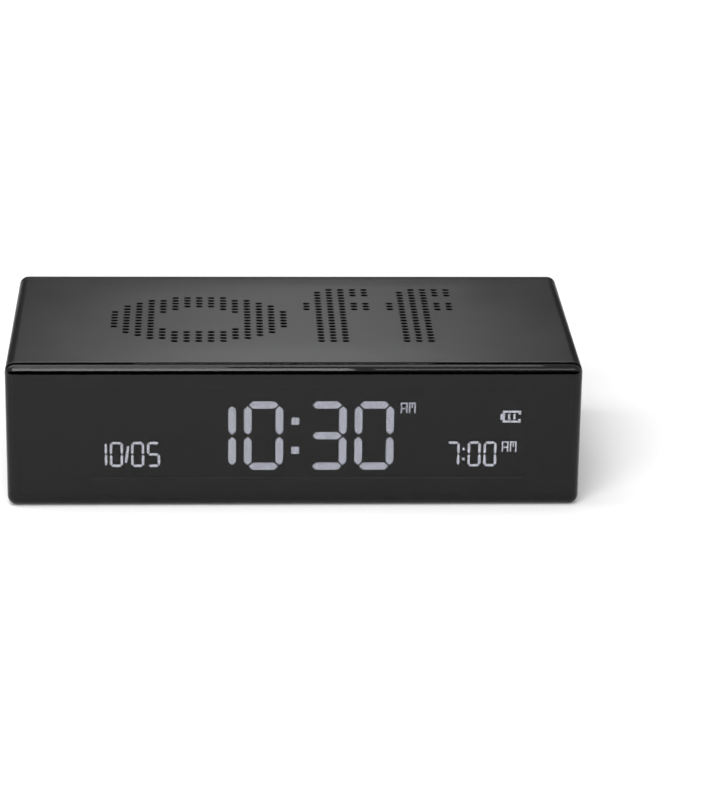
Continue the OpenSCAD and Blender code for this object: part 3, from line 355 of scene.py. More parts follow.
# The contacts of the charging socket
# A row of gold-plated strips on each side of the black tongue, pressed into its two faces.
contact_count = 12
contact_pitch = 0.0005
contact_size = (0.00028, 0.0035, 0.00004)
MATERIAL = "NodeSocketMaterial"


def geometry_tree(name, *inputs):
    """An empty tree of geometry nodes with a mesh and named inputs, and the sockets of its two ends."""
    tree = bpy.data.node_groups.new(name, "GeometryNodeTree")
    tree.interface.new_socket("Geometry", in_out="INPUT", socket_type="NodeSocketGeometry")
    for socket_name, kind in inputs:
        tree.interface.new_socket(socket_name, in_out="INPUT", socket_type=kind)
    tree.interface.new_socket("Geometry", in_out="OUTPUT", socket_type="NodeSocketGeometry")
    end = tree.nodes.new("NodeGroupOutput").inputs["Geometry"]
    return tree, tree.nodes.new("NodeGroupInput").outputs, end


def end_tree(tree, geometry, material, end):
    """Makes real meshes of the instances, sets their material and hands them out."""
    real = add_node(tree, "GeometryNodeRealizeInstances", Geometry=geometry).outputs["Geometry"]
    dressed = add_node(tree, "GeometryNodeSetMaterial", Geometry=real, Material=material)
    feed(tree, end, dressed.outputs["Geometry"])


def on_points(tree, points, instance):
    """A copy of one shape on every point."""
    copies = add_node(tree, "GeometryNodeInstanceOnPoints", Points=points, Instance=instance)
    return copies.outputs["Instances"]


def grow(name, points, tree, **values):
    """The plain mesh that a tree of geometry nodes grows on points."""
    seed = bpy.data.meshes.new(name)
    seed.from_pydata(points, [], [])
    holder = bpy.data.objects.new(name, seed)
    bpy.context.scene.collection.objects.link(holder)
    modifier = holder.modifiers.new(name, "NODES")
    modifier.node_group = tree
    for item in tree.interface.items_tree:
        if item.in_out == "INPUT" and item.name.replace(" ", "_") in values:
            modifier[item.identifier] = values[item.name.replace(" ", "_")]
    grown = holder.evaluated_get(bpy.context.evaluated_depsgraph_get())
    mesh = bpy.data.meshes.new_from_object(grown)
    bpy.data.objects.remove(holder)
    return mesh


def add_piece(name, mesh, body="case"):
    """A finished mesh as a piece at the origin that rides on a body."""
    made = bpy.data.objects.new(name, mesh)
    bpy.context.scene.collection.objects.link(made)
    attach(made, body)
    return made


def contact_row_tree():
    """A flat strip on every point."""
    tree, given, end = geometry_tree("contact_row", ("Material", MATERIAL), ("Size", "NodeSocketVector"))
    strip = add_node(tree, "GeometryNodeMeshCube", Size=given["Size"])
    row = on_points(tree, given["Geometry"], strip.outputs["Mesh"])
    end_tree(tree, row, given["Material"], end)
    return tree


tongue_low, tongue_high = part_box("usb_tongue")
usb_x = (tongue_low.x + tongue_high.x) / 2
usb_z = (tongue_low.z + tongue_high.z) / 2
tongue_half = 0.00035
contact_y = tongue_high.y - contact_size[1] / 2 - contact_size[0]
gold_plate = grained("gold_plate", (0.83, 0.62, 0.26), 0.25, 6000, mottle=0.1, Metallic=1.0)
contacts = grow(
    "usb_contacts",
    [(usb_x + (i - (contact_count - 1) / 2) * contact_pitch, contact_y, usb_z + side * tongue_half)
     for side in (-1, 1) for i in range(contact_count)],
    contact_row_tree(), Material=gold_plate, Size=contact_size)
add_piece("usb_contacts", contacts)

# The display
# A liquid crystal cell between two dark polarising films. Behind it lie a white diffuser, a clear light
# guide, a reflector and a strip of lamps, all in a white tray that is pressed against the front panel.


def sheet_material(name, colour, roughness, scale, **plain):
    """A smooth sheet with a very fine unevenness."""
    return grained(name, colour, roughness, scale, mottle=0.05, spread=0.04, relief=0.000002, **plain)


dress(white_moulding, "lcd_holder", "flex_connector")
dress(sheet_material("front_film", (0.003, 0.003, 0.0035), 0.25, 900, Alpha=0.05, Specular_IOR_Level=0.0),
      "front_polariser")
dress(sheet_material("rear_film", (0.003, 0.003, 0.0035), 0.3, 900, Specular_IOR_Level=0.0), "rear_polariser")
dress(sheet_material("display_glass", (0.05, 0.053, 0.054), 0.05, 300, Alpha=0.02, Specular_IOR_Level=0.0),
      "lcd_front_glass", "lcd_rear_glass")
dress(sheet_material("epoxy_seal", (0.004, 0.004, 0.004), 0.4, 3000, Specular_IOR_Level=0.0), "lcd_seal")
dress(sheet_material("white_sheet", (0.86, 0.86, 0.85), 0.4, 2000), "diffuser_sheet", "reflector_sheet")
dress(sheet_material("light_guide", (0.9, 0.92, 0.93), 0.08, 1500, Transmission_Weight=1.0, IOR=1.49),
      "light_guide")
dress(sheet_material("lamp_resin", (0.86, 0.8, 0.5), 0.3, 3000), "backlight_leds")


def striped_film():
    """Amber film with copper conductors running along it."""
    material = grained("amber_film", (0.42, 0.22, 0.05), 0.3, 1500)
    tree, shader = shader_of(material)
    stripes = add_node(tree, "ShaderNodeTexWave", Vector=object_place(tree), Scale=300.0)
    copper = add_node(tree, "ShaderNodeMapRange", Value=stripes.outputs["Fac"], From_Min=0.4, From_Max=0.6)
    feed_node(tree, shader, Metallic=copper.outputs["Result"])
    return material


dress(striped_film(), "led_strip", "display_flex")

# The lit strokes
# The strokes of the figures let the backlight through, a cool white that is a little stronger in the
# small figures at the two sides than in the large ones.
stroke_light = 5.9
large_colour = (0.485, 0.497, 0.555, 1)
small_colour = (0.62, 0.63, 0.68, 1)
small_from_x = 0.04


def lit_stroke():
    """Light that changes from the large figures to the small ones, with the lamps' unevenness."""
    material = grained("lit_stroke", (0.1, 0.1, 0.11), 0.4, 400)
    tree, shader = shader_of(material)
    sideways = add_node(tree, "ShaderNodeSeparateXYZ", Vector=object_place(tree)).outputs["X"]
    distance = arithmetic(tree, "ABSOLUTE", sideways, 0.0)
    at_side = arithmetic(tree, "GREATER_THAN", distance, small_from_x)
    figures = mix_colours(tree, at_side, large_colour, small_colour)
    lamps = place_group(tree, fine_grain, Colour=figures, Mottle=0.12, Scale=1500.0)
    feed_node(tree, shader, Emission_Color=lamps["Colour"], Emission_Strength=stroke_light)
    return material


dress(lit_stroke(), "display_segments")

# The front panel
# One polished moulding in smoked clear plastic with a rounded edge all round. A rim at its back plugs
# into the sleeve. Its back is printed black except for the window, where clear gel bonds the display to it.
corner_radius = 0.003
sleeve_wall = 0.002
slip_gap = 0.0002
rim_wall = 0.0016
panel_edge_radius = 0.0029
edge_break = 0.00015
least_radius = 0.0004
flat_support = 0.00005
corner_steps = 12
edge_steps = 14
mask_thickness = 0.00002
gel_thickness = 0.00002
plastic_ior = 1.345
bonded_ior = 1.001
window_margin = 0.001
smoke_margin = 0.0015
smoke_fade = 0.008
smoke_tint = (0.14, 0.14, 0.145, 1)
black_tint = (0.01, 0.01, 0.0104, 1)
lip_seat = 0.00006
lip_steps = 2
case_low, case_high = cad_box
case_width = case_high.x - case_low.x
case_height = case_high.z - case_low.z
middle_z = (case_low.z + case_high.z) / 2
plug_inset = sleeve_wall + slip_gap
rim_inset = plug_inset + rim_wall


def rounded_loop(width, height, radius, steps=corner_steps):
    """Points round a rectangle with round corners, about its middle."""
    points = []
    for quarter, (side_x, side_z) in enumerate(((1, 1), (-1, 1), (-1, -1), (1, -1))):
        for step in range(steps + 1):
            angle = math.pi / 2 * (quarter + step / steps)
            points.append((side_x * (width / 2 - radius) + radius * math.cos(angle),
                           side_z * (height / 2 - radius) + radius * math.sin(angle)))
    return points


def case_loop(inset):
    """The outline of the case, drawn in by an inset."""
    radius = max(least_radius, corner_radius - inset)
    return rounded_loop(case_width - 2 * inset, case_height - 2 * inset, radius)


def ring_at(mesh, loop, y, middle=(0.0, middle_z)):
    """Corners along a loop that stands across the depth, about a point in width and height."""
    return [mesh.verts.new((middle[0] + x, y, middle[1] + z)) for x, z in loop]


def loft(mesh, *rings):
    """Walls from each ring to the next one."""
    for first, second in zip(rings, rings[1:]):
        for i, corner in enumerate(first):
            mesh.faces.new((first[i - 1], corner, second[i], second[i - 1]))


def punched_face(mesh, outer, holes):
    """A flat face inside one ring, with an opening at each of the other rings."""
    edges = []
    for ring in (outer, *holes):
        for i, corner in enumerate(ring):
            pair = (ring[i - 1], corner)
            edges.append(mesh.edges.get(pair) or mesh.edges.new(pair))
    bmesh.ops.triangle_fill(mesh, use_beauty=True, edges=edges)


def edge_point(radius, step, steps=edge_steps):
    """Inset and depth of one step round a rounded edge, from the face to the border."""
    angle = math.pi / 2 * step / steps
    return radius * (1 - math.sin(angle)), radius * (1 - math.cos(angle))


def plate_rings(mesh, face_y, inner_y, edge_radius, sunk=0.0, sunk_steps=0):
    """Rings of a plate the size of the case, from its flat face over the rounded edge, sunk at its border."""
    inward = math.copysign(1.0, inner_y - face_y)
    rings = [ring_at(mesh, case_loop(edge_radius + flat_support), face_y)]
    for step in range(edge_steps + 1):
        inset, depth = edge_point(edge_radius, step)
        drawn_in = inset + sunk if step > edge_steps - sunk_steps else inset
        rings.append(ring_at(mesh, case_loop(drawn_in), face_y + inward * depth))
    rings.append(ring_at(mesh, case_loop(sunk), inner_y - inward * edge_break))
    rings.append(ring_at(mesh, case_loop(sunk + edge_break), inner_y))
    return rings


def rim_rings(mesh, foot_y, end_y, inside_y):
    """Rings of the rim that plugs into the sleeve, from its foot over its end to the inside."""
    stations = ((plug_inset, foot_y), (plug_inset, end_y), (rim_inset, end_y), (rim_inset, inside_y))
    return [ring_at(mesh, case_loop(inset), y) for inset, y in stations]


def close_mesh(name, mesh, material):
    """A plain mesh with joined corners, faces turned outwards and sharp edges where faces meet steeply."""
    sharp_angle = math.radians(35)
    join_distance = 0.0000005
    bmesh.ops.remove_doubles(mesh, verts=mesh.verts, dist=join_distance)
    bmesh.ops.recalc_face_normals(mesh, faces=mesh.faces)
    made = bpy.data.meshes.new(name)
    mesh.to_mesh(made)
    mesh.free()
    made.materials.clear()
    made.materials.append(material)
    made.shade_smooth()
    made.set_sharp_from_angle(angle=sharp_angle)
    return made


front_y = case_low.y
panel_inner_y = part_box("front_polariser")[0].y - gel_thickness
panel_skirt_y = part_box("front_gasket")[0].y
panel_rim_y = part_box("front_panel")[1].y
panel = bmesh.new()
panel_plate = plate_rings(panel, front_y, panel_skirt_y, panel_edge_radius, lip_seat, lip_steps)
panel_rim = rim_rings(panel, panel_skirt_y, panel_rim_y, panel_inner_y)
loft(panel, *panel_plate, *panel_rim)
panel.faces.new(panel_plate[0])
panel.faces.new(panel_rim[-1])


def smoked_plastic(name, ior):
    """Black plastic that is only smoked over the strokes, with a polish that wiping marks break a little."""
    material, tree, shader = new_material(name)
    strokes_low, strokes_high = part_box("display_segments")
    place = add_node(tree, "ShaderNodeSeparateXYZ", Vector=object_place(tree)).outputs
    over_strokes = 1.0
    for axis, low, high in (("X", strokes_low.x, strokes_high.x), ("Z", strokes_low.z, strokes_high.z)):
        off_middle = arithmetic(tree, "SUBTRACT", place[axis], (low + high) / 2)
        clear_half = (high - low) / 2 + smoke_margin
        inside = add_node(tree, "ShaderNodeMapRange", {"interpolation_type": "SMOOTHSTEP"},
                          Value=arithmetic(tree, "ABSOLUTE", off_middle, 0.0), From_Min=clear_half,
                          From_Max=clear_half + smoke_fade, To_Min=1.0, To_Max=0.0)
        over_strokes = arithmetic(tree, "MULTIPLY", over_strokes, inside.outputs["Result"])
    tint = mix_colours(tree, over_strokes, black_tint, smoke_tint)
    wiped = place_group(tree, fine_grain, Colour=tint, Mottle=0.03, Scale=120.0, Roughness=0.03, Spread=0.02)
    feed_node(tree, shader, Base_Color=wiped["Colour"], Roughness=wiped["Roughness"], IOR=ior,
              Transmission_Weight=1.0)
    return material


panel_mesh = close_mesh("front_panel", panel, smoked_plastic("smoked_plastic", plastic_ior))
panel_mesh.materials.append(smoked_plastic("bonded_plastic", bonded_ior))
# The gel takes the inner face's own reflection away.
for face in panel_mesh.polygons:
    faces_back = face.normal.y > abs(face.normal.x) + abs(face.normal.z)
    if faces_back and abs(face.center.y - panel_inner_y) < gel_thickness:
        face.material_index = 1
front_panel = add_piece("front_panel_moulding", panel_mesh)
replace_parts(front_panel, "front_panel")

film_low, film_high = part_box("front_polariser")
window_width = film_high.x - film_low.x - 2 * window_margin
window_height = film_high.z - film_low.z - 2 * window_margin
window_middle = (0.0, (film_low.z + film_high.z) / 2)
mask = bmesh.new()
mask_sides = []
for mask_y in (panel_inner_y - mask_thickness, panel_inner_y):
    edge = ring_at(mask, case_loop(rim_inset), mask_y)
    window = ring_at(mask, rounded_loop(window_width, window_height, window_margin), mask_y, window_middle)
    mask_sides.append((edge, window))
loft(mask, mask_sides[0][0], mask_sides[0][1], mask_sides[1][1], mask_sides[1][0], mask_sides[0][0])
black_print = grained("black_print", (0.003, 0.003, 0.0035), 0.5, 4000, Specular_IOR_Level=0.0)
add_piece("panel_print", close_mesh("panel_print", mask, black_print))

# The front seal
# A ring of matt black rubber round the rim of the front panel. It fills the seam up to the sleeve, and its
# thin lip lies in a step round the border of the panel, as a dark band of painted shade along the seam.
lip_clearance = 0.000005
seal_low, seal_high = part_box("front_gasket")
seal_inset = case_high.z - seal_high.z
lip_under = lip_seat - lip_clearance
# The lip is a dark band of painted shade laid over the panel's polished border.
outer_lip = []
inner_lip = []
for edge_step in range(edge_steps - lip_steps, edge_steps + 1):
    edge_inset, edge_depth = edge_point(panel_edge_radius, edge_step)
    outer_lip.append((edge_inset, front_y + edge_depth))
    if edge_step > edge_steps - lip_steps:
        inner_lip.append((edge_inset + lip_under, front_y + edge_depth))
seal_ring = [(0.0, seal_low.y), (seal_inset, seal_low.y + seal_inset), (seal_inset, seal_high.y),
             (plug_inset, seal_high.y), (plug_inset, seal_low.y), (lip_under + edge_break, seal_low.y),
             (lip_under, seal_low.y - edge_break)]
seal = bmesh.new()
seal_rings = [ring_at(seal, case_loop(inset), y) for inset, y in outer_lip + seal_ring + inner_lip[::-1]]
loft(seal, *seal_rings, seal_rings[0])
matt_rubber = grained("matt_rubber", (0.003, 0.003, 0.003), 0.8, 5000, relief=0.00002, Specular_IOR_Level=0.0)
front_seal = add_piece("front_seal", close_mesh("front_seal", seal, matt_rubber))
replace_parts(front_seal, "front_gasket")

# The sleeve
# An aluminium extrusion, cut to length, blasted and anodised dark grey. Rows of round holes are drilled
# through its two broad walls and spell the state of the alarm: "off" on the top, "on" on the underside.
hole_diameter = 0.00235
hole_chamfer = 0.00006
hole_sides = 20
pitch_x = 0.00389
pitch_y = 0.00287
word_x = -0.00265
word_y = 0.0004
cut_radius = 0.00015
cut_steps = 5
cheek_steps = 10

ring_half = (7.5, 8.0)
opening_half = (3.75, 4.0)
opening_shift = 0.25
letter_columns = range(-7, 8)
letter_rows = [row + 0.5 for row in range(-8, 8)]
tall_rows = [row + 0.5 for row in range(-11, 8)]
hook_rows = tall_rows[:3]
bar_rows = tall_rows[5:8]
hooked_columns = range(6)
stem_columns = (1, 2, 3)
off_starts = (-7, 2, 9)
on_starts = (-8, 8)


def in_ellipse(column, row, half):
    """Whether a hole lies inside an ellipse about the middle of its letter."""
    return (column / half[0]) ** 2 + (row / half[1]) ** 2 < 1


def in_ring(column, row):
    """The letter o: an ellipse with an opening."""
    return in_ellipse(column, row, ring_half) and not in_ellipse(column, row - opening_shift, opening_half)


def in_arch(column, row):
    """The letter n: the upper half of the ring on two legs."""
    in_leg = abs(column) > opening_half[0] and (row > 0 or column < 0)
    return in_leg or (row < 0 and in_ring(column, row))


def in_hooked_stem(column, row):
    """The letter f: a stem, a hook at its top right and a bar across it."""
    if column in stem_columns:
        return column > stem_columns[0] or row > tall_rows[0]
    return row in bar_rows or (column > stem_columns[-1] and row in hook_rows)


def letter(rule, columns, rows, start):
    """The holes of one letter whose columns count from a start column of its word."""
    return [(word_x + (start + column) * pitch_x, word_y - row * pitch_y)
            for column in columns for row in rows if rule(column, row)]


top_holes = letter(in_ring, letter_columns, letter_rows, off_starts[0])
for start_column in off_starts[1:]:
    top_holes += letter(in_hooked_stem, hooked_columns, tall_rows, start_column)
under_word = letter(in_ring, letter_columns, letter_rows, on_starts[0])
under_word += letter(in_arch, letter_columns, letter_rows, on_starts[1])
under_holes = [(-x, y) for x, y in under_word]


def drilled_wall_tree():
    """A flat wall with a chamfered hole through it at every point."""
    tree, given, end = geometry_tree(
        "drilled_wall", ("Material", MATERIAL), ("Width", VALUE), ("Length", VALUE),
        ("Hole Radius", VALUE), ("Chamfer", VALUE), ("Outer Height", VALUE), ("Inner Height", VALUE))
    mouth = arithmetic(tree, "ADD", given["Hole Radius"], given["Chamfer"])
    thickness = arithmetic(tree, "SUBTRACT", given["Inner Height"], given["Outer Height"])
    inward = arithmetic(tree, "SIGN", thickness, 0.0)
    sunk = arithmetic(tree, "MULTIPLY", inward, given["Chamfer"])
    chamfer_height = arithmetic(tree, "ADD", given["Outer Height"], sunk)
    bore_depth = arithmetic(tree, "SUBTRACT", given["Inner Height"], chamfer_height)
    joined = add_node(tree, "GeometryNodeJoinGeometry")
    edge = add_node(tree, "GeometryNodeCurvePrimitiveQuadrilateral", Width=given["Width"],
                    Height=given["Length"])
    for radius, height in ((mouth, given["Outer Height"]), (given["Hole Radius"], given["Inner Height"])):
        circle = add_node(tree, "GeometryNodeCurvePrimitiveCircle", Resolution=hole_sides, Radius=radius)
        outlines = add_node(tree, "GeometryNodeJoinGeometry", Geometry=edge.outputs["Curve"])
        circles = on_points(tree, given["Geometry"], circle.outputs["Curve"])
        feed(tree, outlines.inputs["Geometry"], circles)
        real = add_node(tree, "GeometryNodeRealizeInstances", Geometry=outlines.outputs["Geometry"])
        skin = add_node(tree, "GeometryNodeFillCurve", Curve=real.outputs["Geometry"])
        lift = add_node(tree, "ShaderNodeCombineXYZ", Z=height)
        raised = add_node(tree, "GeometryNodeTransform", Geometry=skin.outputs["Mesh"],
                          Translation=lift.outputs["Vector"])
        feed(tree, joined.inputs["Geometry"], raised.outputs["Geometry"])
    for bottom, top, start, depth in (
            (mouth, given["Hole Radius"], given["Outer Height"], sunk),
            (given["Hole Radius"], given["Hole Radius"], chamfer_height, bore_depth)):
        collar = add_node(tree, "GeometryNodeMeshCone", {"fill_type": "NONE"}, Vertices=hole_sides,
                          Radius_Bottom=bottom, Radius_Top=top, Depth=1.0)
        lift = add_node(tree, "ShaderNodeCombineXYZ", Z=start)
        stretch = add_node(tree, "ShaderNodeCombineXYZ", X=1.0, Y=1.0, Z=depth)
        set_in = add_node(tree, "GeometryNodeTransform", Geometry=collar.outputs["Mesh"],
                          Translation=lift.outputs["Vector"], Scale=stretch.outputs["Vector"])
        collars = on_points(tree, given["Geometry"], set_in.outputs["Geometry"])
        feed(tree, joined.inputs["Geometry"], collars)
    end_tree(tree, joined.outputs["Geometry"], given["Material"], end)
    return tree


def edge_wear_and_highlight_group():
    """A mask of the narrow line along an edge, where the finish is thinner and brighter and a painted
    highlight stands in for light.
    """
    tree, given, result = new_group("edge_rub", [("Width", VALUE)], [("Mask", VALUE)])
    rounded = add_node(tree, "ShaderNodeBevel", {"samples": 4}, Radius=given["Width"])
    straight = add_node(tree, "ShaderNodeNewGeometry").outputs["Normal"]
    agreement = add_node(tree, "ShaderNodeVectorMath", {"operation": "DOT_PRODUCT"})
    feed(tree, agreement.inputs[0], rounded.outputs["Normal"])
    feed(tree, agreement.inputs[1], straight)
    turned = add_node(tree, "ShaderNodeMapRange", Value=agreement.outputs["Value"], From_Min=0.99,
                      From_Max=0.85)
    feed(tree, result["Mask"], turned.outputs["Result"])
    return tree


edge_rub = edge_wear_and_highlight_group()


def worn_and_highlighted(material, width, bright):
    """Brightens a material's colour along its edges: partly wear of the finish, partly a painted highlight.
    """
    tree, shader = shader_of(material)
    grain = shader.inputs["Base Color"].links[0].from_socket
    edges = place_group(tree, edge_rub, Width=width)["Mask"]
    feed_node(tree, shader, Base_Color=mix_colours(tree, edges, grain, (*bright, 1)))
    return material


def painted_shade_below_surface(material, skin, dark):
    """Paints shade into a material's colour in the holes and the cut ends of the two broad walls, below their
    skin.
    """
    tree, shader = shader_of(material)
    skin_colour = shader.inputs["Base Color"].links[0].from_socket
    place = add_node(tree, "ShaderNodeSeparateXYZ", Vector=object_place(tree)).outputs
    sideways = arithmetic(tree, "ABSOLUTE", place["X"], 0.0)
    off_middle = arithmetic(tree, "ABSOLUTE", arithmetic(tree, "SUBTRACT", place["Z"], middle_z), 0.0)
    in_wall = arithmetic(tree, "LESS_THAN", sideways, case_width / 2 - corner_radius)
    below = arithmetic(tree, "LESS_THAN", off_middle, case_height / 2 - skin)
    inside = arithmetic(tree, "MULTIPLY", in_wall, below)
    feed_node(tree, shader, Base_Color=mix_colours(tree, inside, skin_colour, (*dark, 1)))
    return material


# The sleeve's edges are brightened partly for wear and partly as a painted highlight.
wear_and_highlight_width = 0.0002
# The holes and cut ends of the sleeve's broad walls get painted shade; the anodised finish there is the same
# as outside.
painted_shade_depth = 0.00025
blasted = grained("dark_anodised", (0.062, 0.062, 0.0635), 0.43, 2200, mottle=0.35, spread=0.05,
                  relief=0.000012, Metallic=1.0)
anodised = painted_shade_below_surface(worn_and_highlighted(blasted, wear_and_highlight_width, (0.13, 0.13, 0.132)), painted_shade_depth, (0.012, 0.012, 0.012))

sleeve_low, sleeve_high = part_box("sleeve")
sleeve_middle_y = (sleeve_low.y + sleeve_high.y) / 2
wall_width = case_width - 2 * corner_radius - 2 * flat_support
wall_length = sleeve_high.y - sleeve_low.y - 2 * cut_radius


def cheek(inset, side):
    """One side of the sleeve's outline, from the flat of the top round to the flat of the underside."""
    radius = corner_radius - inset
    centre_x = case_width / 2 - corner_radius
    centre_z = case_height / 2 - corner_radius
    points = [(wall_width / 2, case_height / 2 - inset)]
    for z_side in (1, -1):
        for step in range(cheek_steps + 1):
            turn = step / cheek_steps
            angle = math.pi / 2 * (1 - turn) if z_side > 0 else -math.pi / 2 * turn
            points.append((centre_x + radius * math.cos(angle), z_side * centre_z + radius * math.sin(angle)))
    points.append((wall_width / 2, inset - case_height / 2))
    return [(side * x, z) for x, z in points]


def sleeve_section():
    """Insets and depths round the thickness of the sleeve, with its cut ends broken outside."""
    curve = [edge_point(cut_radius, step, cut_steps) for step in range(cut_steps + 1)]
    front_edge = [(inset, sleeve_low.y + along) for inset, along in curve]
    rear_edge = [(inset, sleeve_high.y - along) for inset, along in reversed(curve)]
    bore_ys = (sleeve_high.y, sleeve_high.y - cut_radius, sleeve_low.y + cut_radius, sleeve_low.y)
    return front_edge + rear_edge + [(sleeve_wall, y) for y in bore_ys]


section = sleeve_section()
sleeve = bmesh.new()
for cheek_side in (-1, 1):
    strips = [ring_at(sleeve, cheek(inset, cheek_side), y) for inset, y in section]
    for k, strip in enumerate(strips):
        for i in range(len(strip) - 1):
            sleeve.faces.new((strips[k - 1][i], strips[k - 1][i + 1], strip[i + 1], strip[i]))
for z_side in (-1, 1):
    ends = []
    for inset, y in section:
        z = middle_z + z_side * (case_height / 2 - inset)
        ends.append([sleeve.verts.new((x * wall_width / 2, y, z)) for x in (-1, 1)])
    # Only the cut ends of the broad walls are closed here: their long faces are the drilled walls below.
    for k, end in enumerate(ends):
        if abs(section[k][1] - section[k - 1][1]) < wall_length / 2:
            sleeve.faces.new((*ends[k - 1], *reversed(end)))
drilled_wall = drilled_wall_tree()
for holes, outer_z, inner_z in ((top_holes, case_high.z, case_high.z - sleeve_wall),
                                (under_holes, case_low.z, case_low.z + sleeve_wall)):
    wall = grow("drilled_wall", [(x, y - sleeve_middle_y, 0) for x, y in holes], drilled_wall,
                Material=anodised, Width=wall_width, Length=wall_length, Hole_Radius=hole_diameter / 2,
                Chamfer=hole_chamfer, Outer_Height=outer_z, Inner_Height=inner_z)
    wall.transform(Matrix.Translation((0, sleeve_middle_y, 0)))
    sleeve.from_mesh(wall)
    bpy.data.meshes.remove(wall)
sleeve_piece = add_piece("sleeve_extrusion", close_mesh("sleeve", sleeve, anodised))
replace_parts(sleeve_piece, "sleeve")

# The acoustic mesh
# A flat sheet of stiff black weave, glued inside each broad wall behind the holes, so that sound passes
# and dust doesn't.
weave_scale = 350.0
thread_depth = 0.0001


def black_weave():
    """Two sets of threads that cross each other."""
    material = grained("black_weave", (0.02, 0.02, 0.021), 0.8, 6000, mottle=0.5)
    tree, shader = shader_of(material)
    place = object_place(tree)
    along, across = [
        add_node(tree, "ShaderNodeTexWave", {"bands_direction": way}, Vector=place, Scale=weave_scale)
        for way in ("X", "Y")]
    crossed = arithmetic(tree, "MAXIMUM", along.outputs["Fac"], across.outputs["Fac"])
    bump = add_node(tree, "ShaderNodeBump", Strength=1.0, Distance=thread_depth, Height=crossed)
    feed_node(tree, shader, Normal=bump.outputs["Normal"])
    return material


dress(black_weave(), "top_mesh", "bottom_mesh")

# The rear cover
# A moulding in black plastic with a fine spark-eroded skin. It has a shallow bay for the five keys, a
# slot for the charging plug and four countersunk holes, and plugs into the sleeve like the front panel.
cover_edge_radius = 0.0004
bay_depth = 0.0008
bay_margin = 0.003
key_gap = 0.00025
flange_width = 0.001
usb_gap = 0.0003
head_radius = 0.0025
thread_radius = 0.0013
screw_gap = 0.0001
round_steps = 40
back_y = case_high.y
cover_inner_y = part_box("rear_gasket")[1].y
cover_rim_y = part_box("rear_cover")[0].y
bay_y = back_y - bay_depth
key_boxes = {name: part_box("key_" + name) for name in key_names}
key_middles = {name: ((low.x + high.x) / 2, (low.z + high.z) / 2) for name, (low, high) in key_boxes.items()}
key_radius = (key_boxes["clock"][1].z - key_boxes["clock"][0].z) / 2 - flange_width
bay_width = key_middles["light"][0] - key_middles["clock"][0] + 2 * (key_radius + bay_margin)
bay_height = 2 * (key_radius + bay_margin)
usb_low, usb_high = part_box("usb_shell")
usb_middle = (usb_x, usb_z)
slot_width = usb_high.x - usb_low.x + 2 * usb_gap
slot_height = usb_high.z - usb_low.z + 2 * usb_gap
screws_low, screws_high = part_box("rear_screws")
screw_middles = [(x, z) for x in (screws_low.x + head_radius, screws_high.x - head_radius)
                 for z in (screws_low.z + head_radius, screws_high.z - head_radius)]
countersink_depth = head_radius - thread_radius


def circle_loop(radius):
    """Points round a circle."""
    return [(radius * math.cos(math.tau * i / round_steps), radius * math.sin(math.tau * i / round_steps))
            for i in range(round_steps)]


def bay_loop(inset):
    """The outline of the bay, drawn in by an inset."""
    return rounded_loop(bay_width - 2 * inset, bay_height - 2 * inset, key_radius - inset)


def slot_loop(inset):
    """The outline of the slot for the charging plug, drawn in by an inset."""
    radius = slot_height / 2 - inset - flat_support
    return rounded_loop(slot_width - 2 * inset, slot_height - 2 * inset, radius)


def well(mesh, stations, middle):
    """Rings down a hole, from its mouth to its foot, joined by walls."""
    rings = [ring_at(mesh, loop, y, middle) for loop, y in stations]
    loft(mesh, *rings)
    return rings[0], rings[-1]


cover = bmesh.new()
cover_plate = plate_rings(cover, back_y, cover_inner_y, cover_edge_radius)
cover_rim = rim_rings(cover, cover_inner_y, cover_rim_y, cover_inner_y)
loft(cover, *cover_plate, *cover_rim)
(bay_mouth, bay_foot), (slot_mouth, slot_foot) = [
    well(cover, [(outline(-edge_break), back_y),
                 (outline(0), back_y - edge_break),
                 (outline(0), foot_y)], middle)
    for outline, foot_y, middle in ((bay_loop, bay_y, (0, middle_z)), (slot_loop, cover_inner_y, usb_middle))]
screw_wells = [
    well(cover, [(circle_loop(head_radius + screw_gap), back_y),
                 (circle_loop(thread_radius + screw_gap), back_y - countersink_depth),
                 (circle_loop(thread_radius + screw_gap), cover_inner_y)], middle)
    for middle in screw_middles]
key_wells = [
    well(cover, [(circle_loop(key_radius + key_gap + edge_break), bay_y),
                 (circle_loop(key_radius + key_gap), bay_y - edge_break),
                 (circle_loop(key_radius + key_gap), cover_inner_y)], middle)
    for middle in key_middles.values()]
punched_face(cover, cover_plate[0], [bay_mouth, slot_mouth, *[mouth for mouth, foot in screw_wells]])
punched_face(cover, bay_foot, [mouth for mouth, foot in key_wells])
punched_face(cover, cover_rim[-1], [slot_foot, *[foot for mouth, foot in screw_wells + key_wells]])
spark_plastic = grained("spark_plastic", (0.015, 0.015, 0.016), 0.48, 3500, mottle=0.25, relief=0.00002,
                        Specular_IOR_Level=0.2)
cover_piece = add_piece("rear_cover_moulding", close_mesh("rear_cover", cover, spark_plastic))
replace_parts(cover_piece, "rear_cover")

# The rear screws
# Four black steel screws with countersunk heads and a cross recess, driven through the rear cover into
# the posts of the chassis.
recess_arm = head_radius / 2
recess_blade = head_radius / 8
recess_depth = head_radius / 3
screw_length = screws_high.y - screws_low.y
tip_length = thread_radius / 2


def cross_loop(arm, blade):
    """The twelve corners of a cross, anticlockwise."""
    quarter = [(arm, -blade), (arm, blade), (blade, blade)]
    corners = []
    for turn in range(4):
        cos = math.cos(turn * math.pi / 2)
        sin = math.sin(turn * math.pi / 2)
        corners += [(x * cos - z * sin, x * sin + z * cos) for x, z in quarter]
    return corners


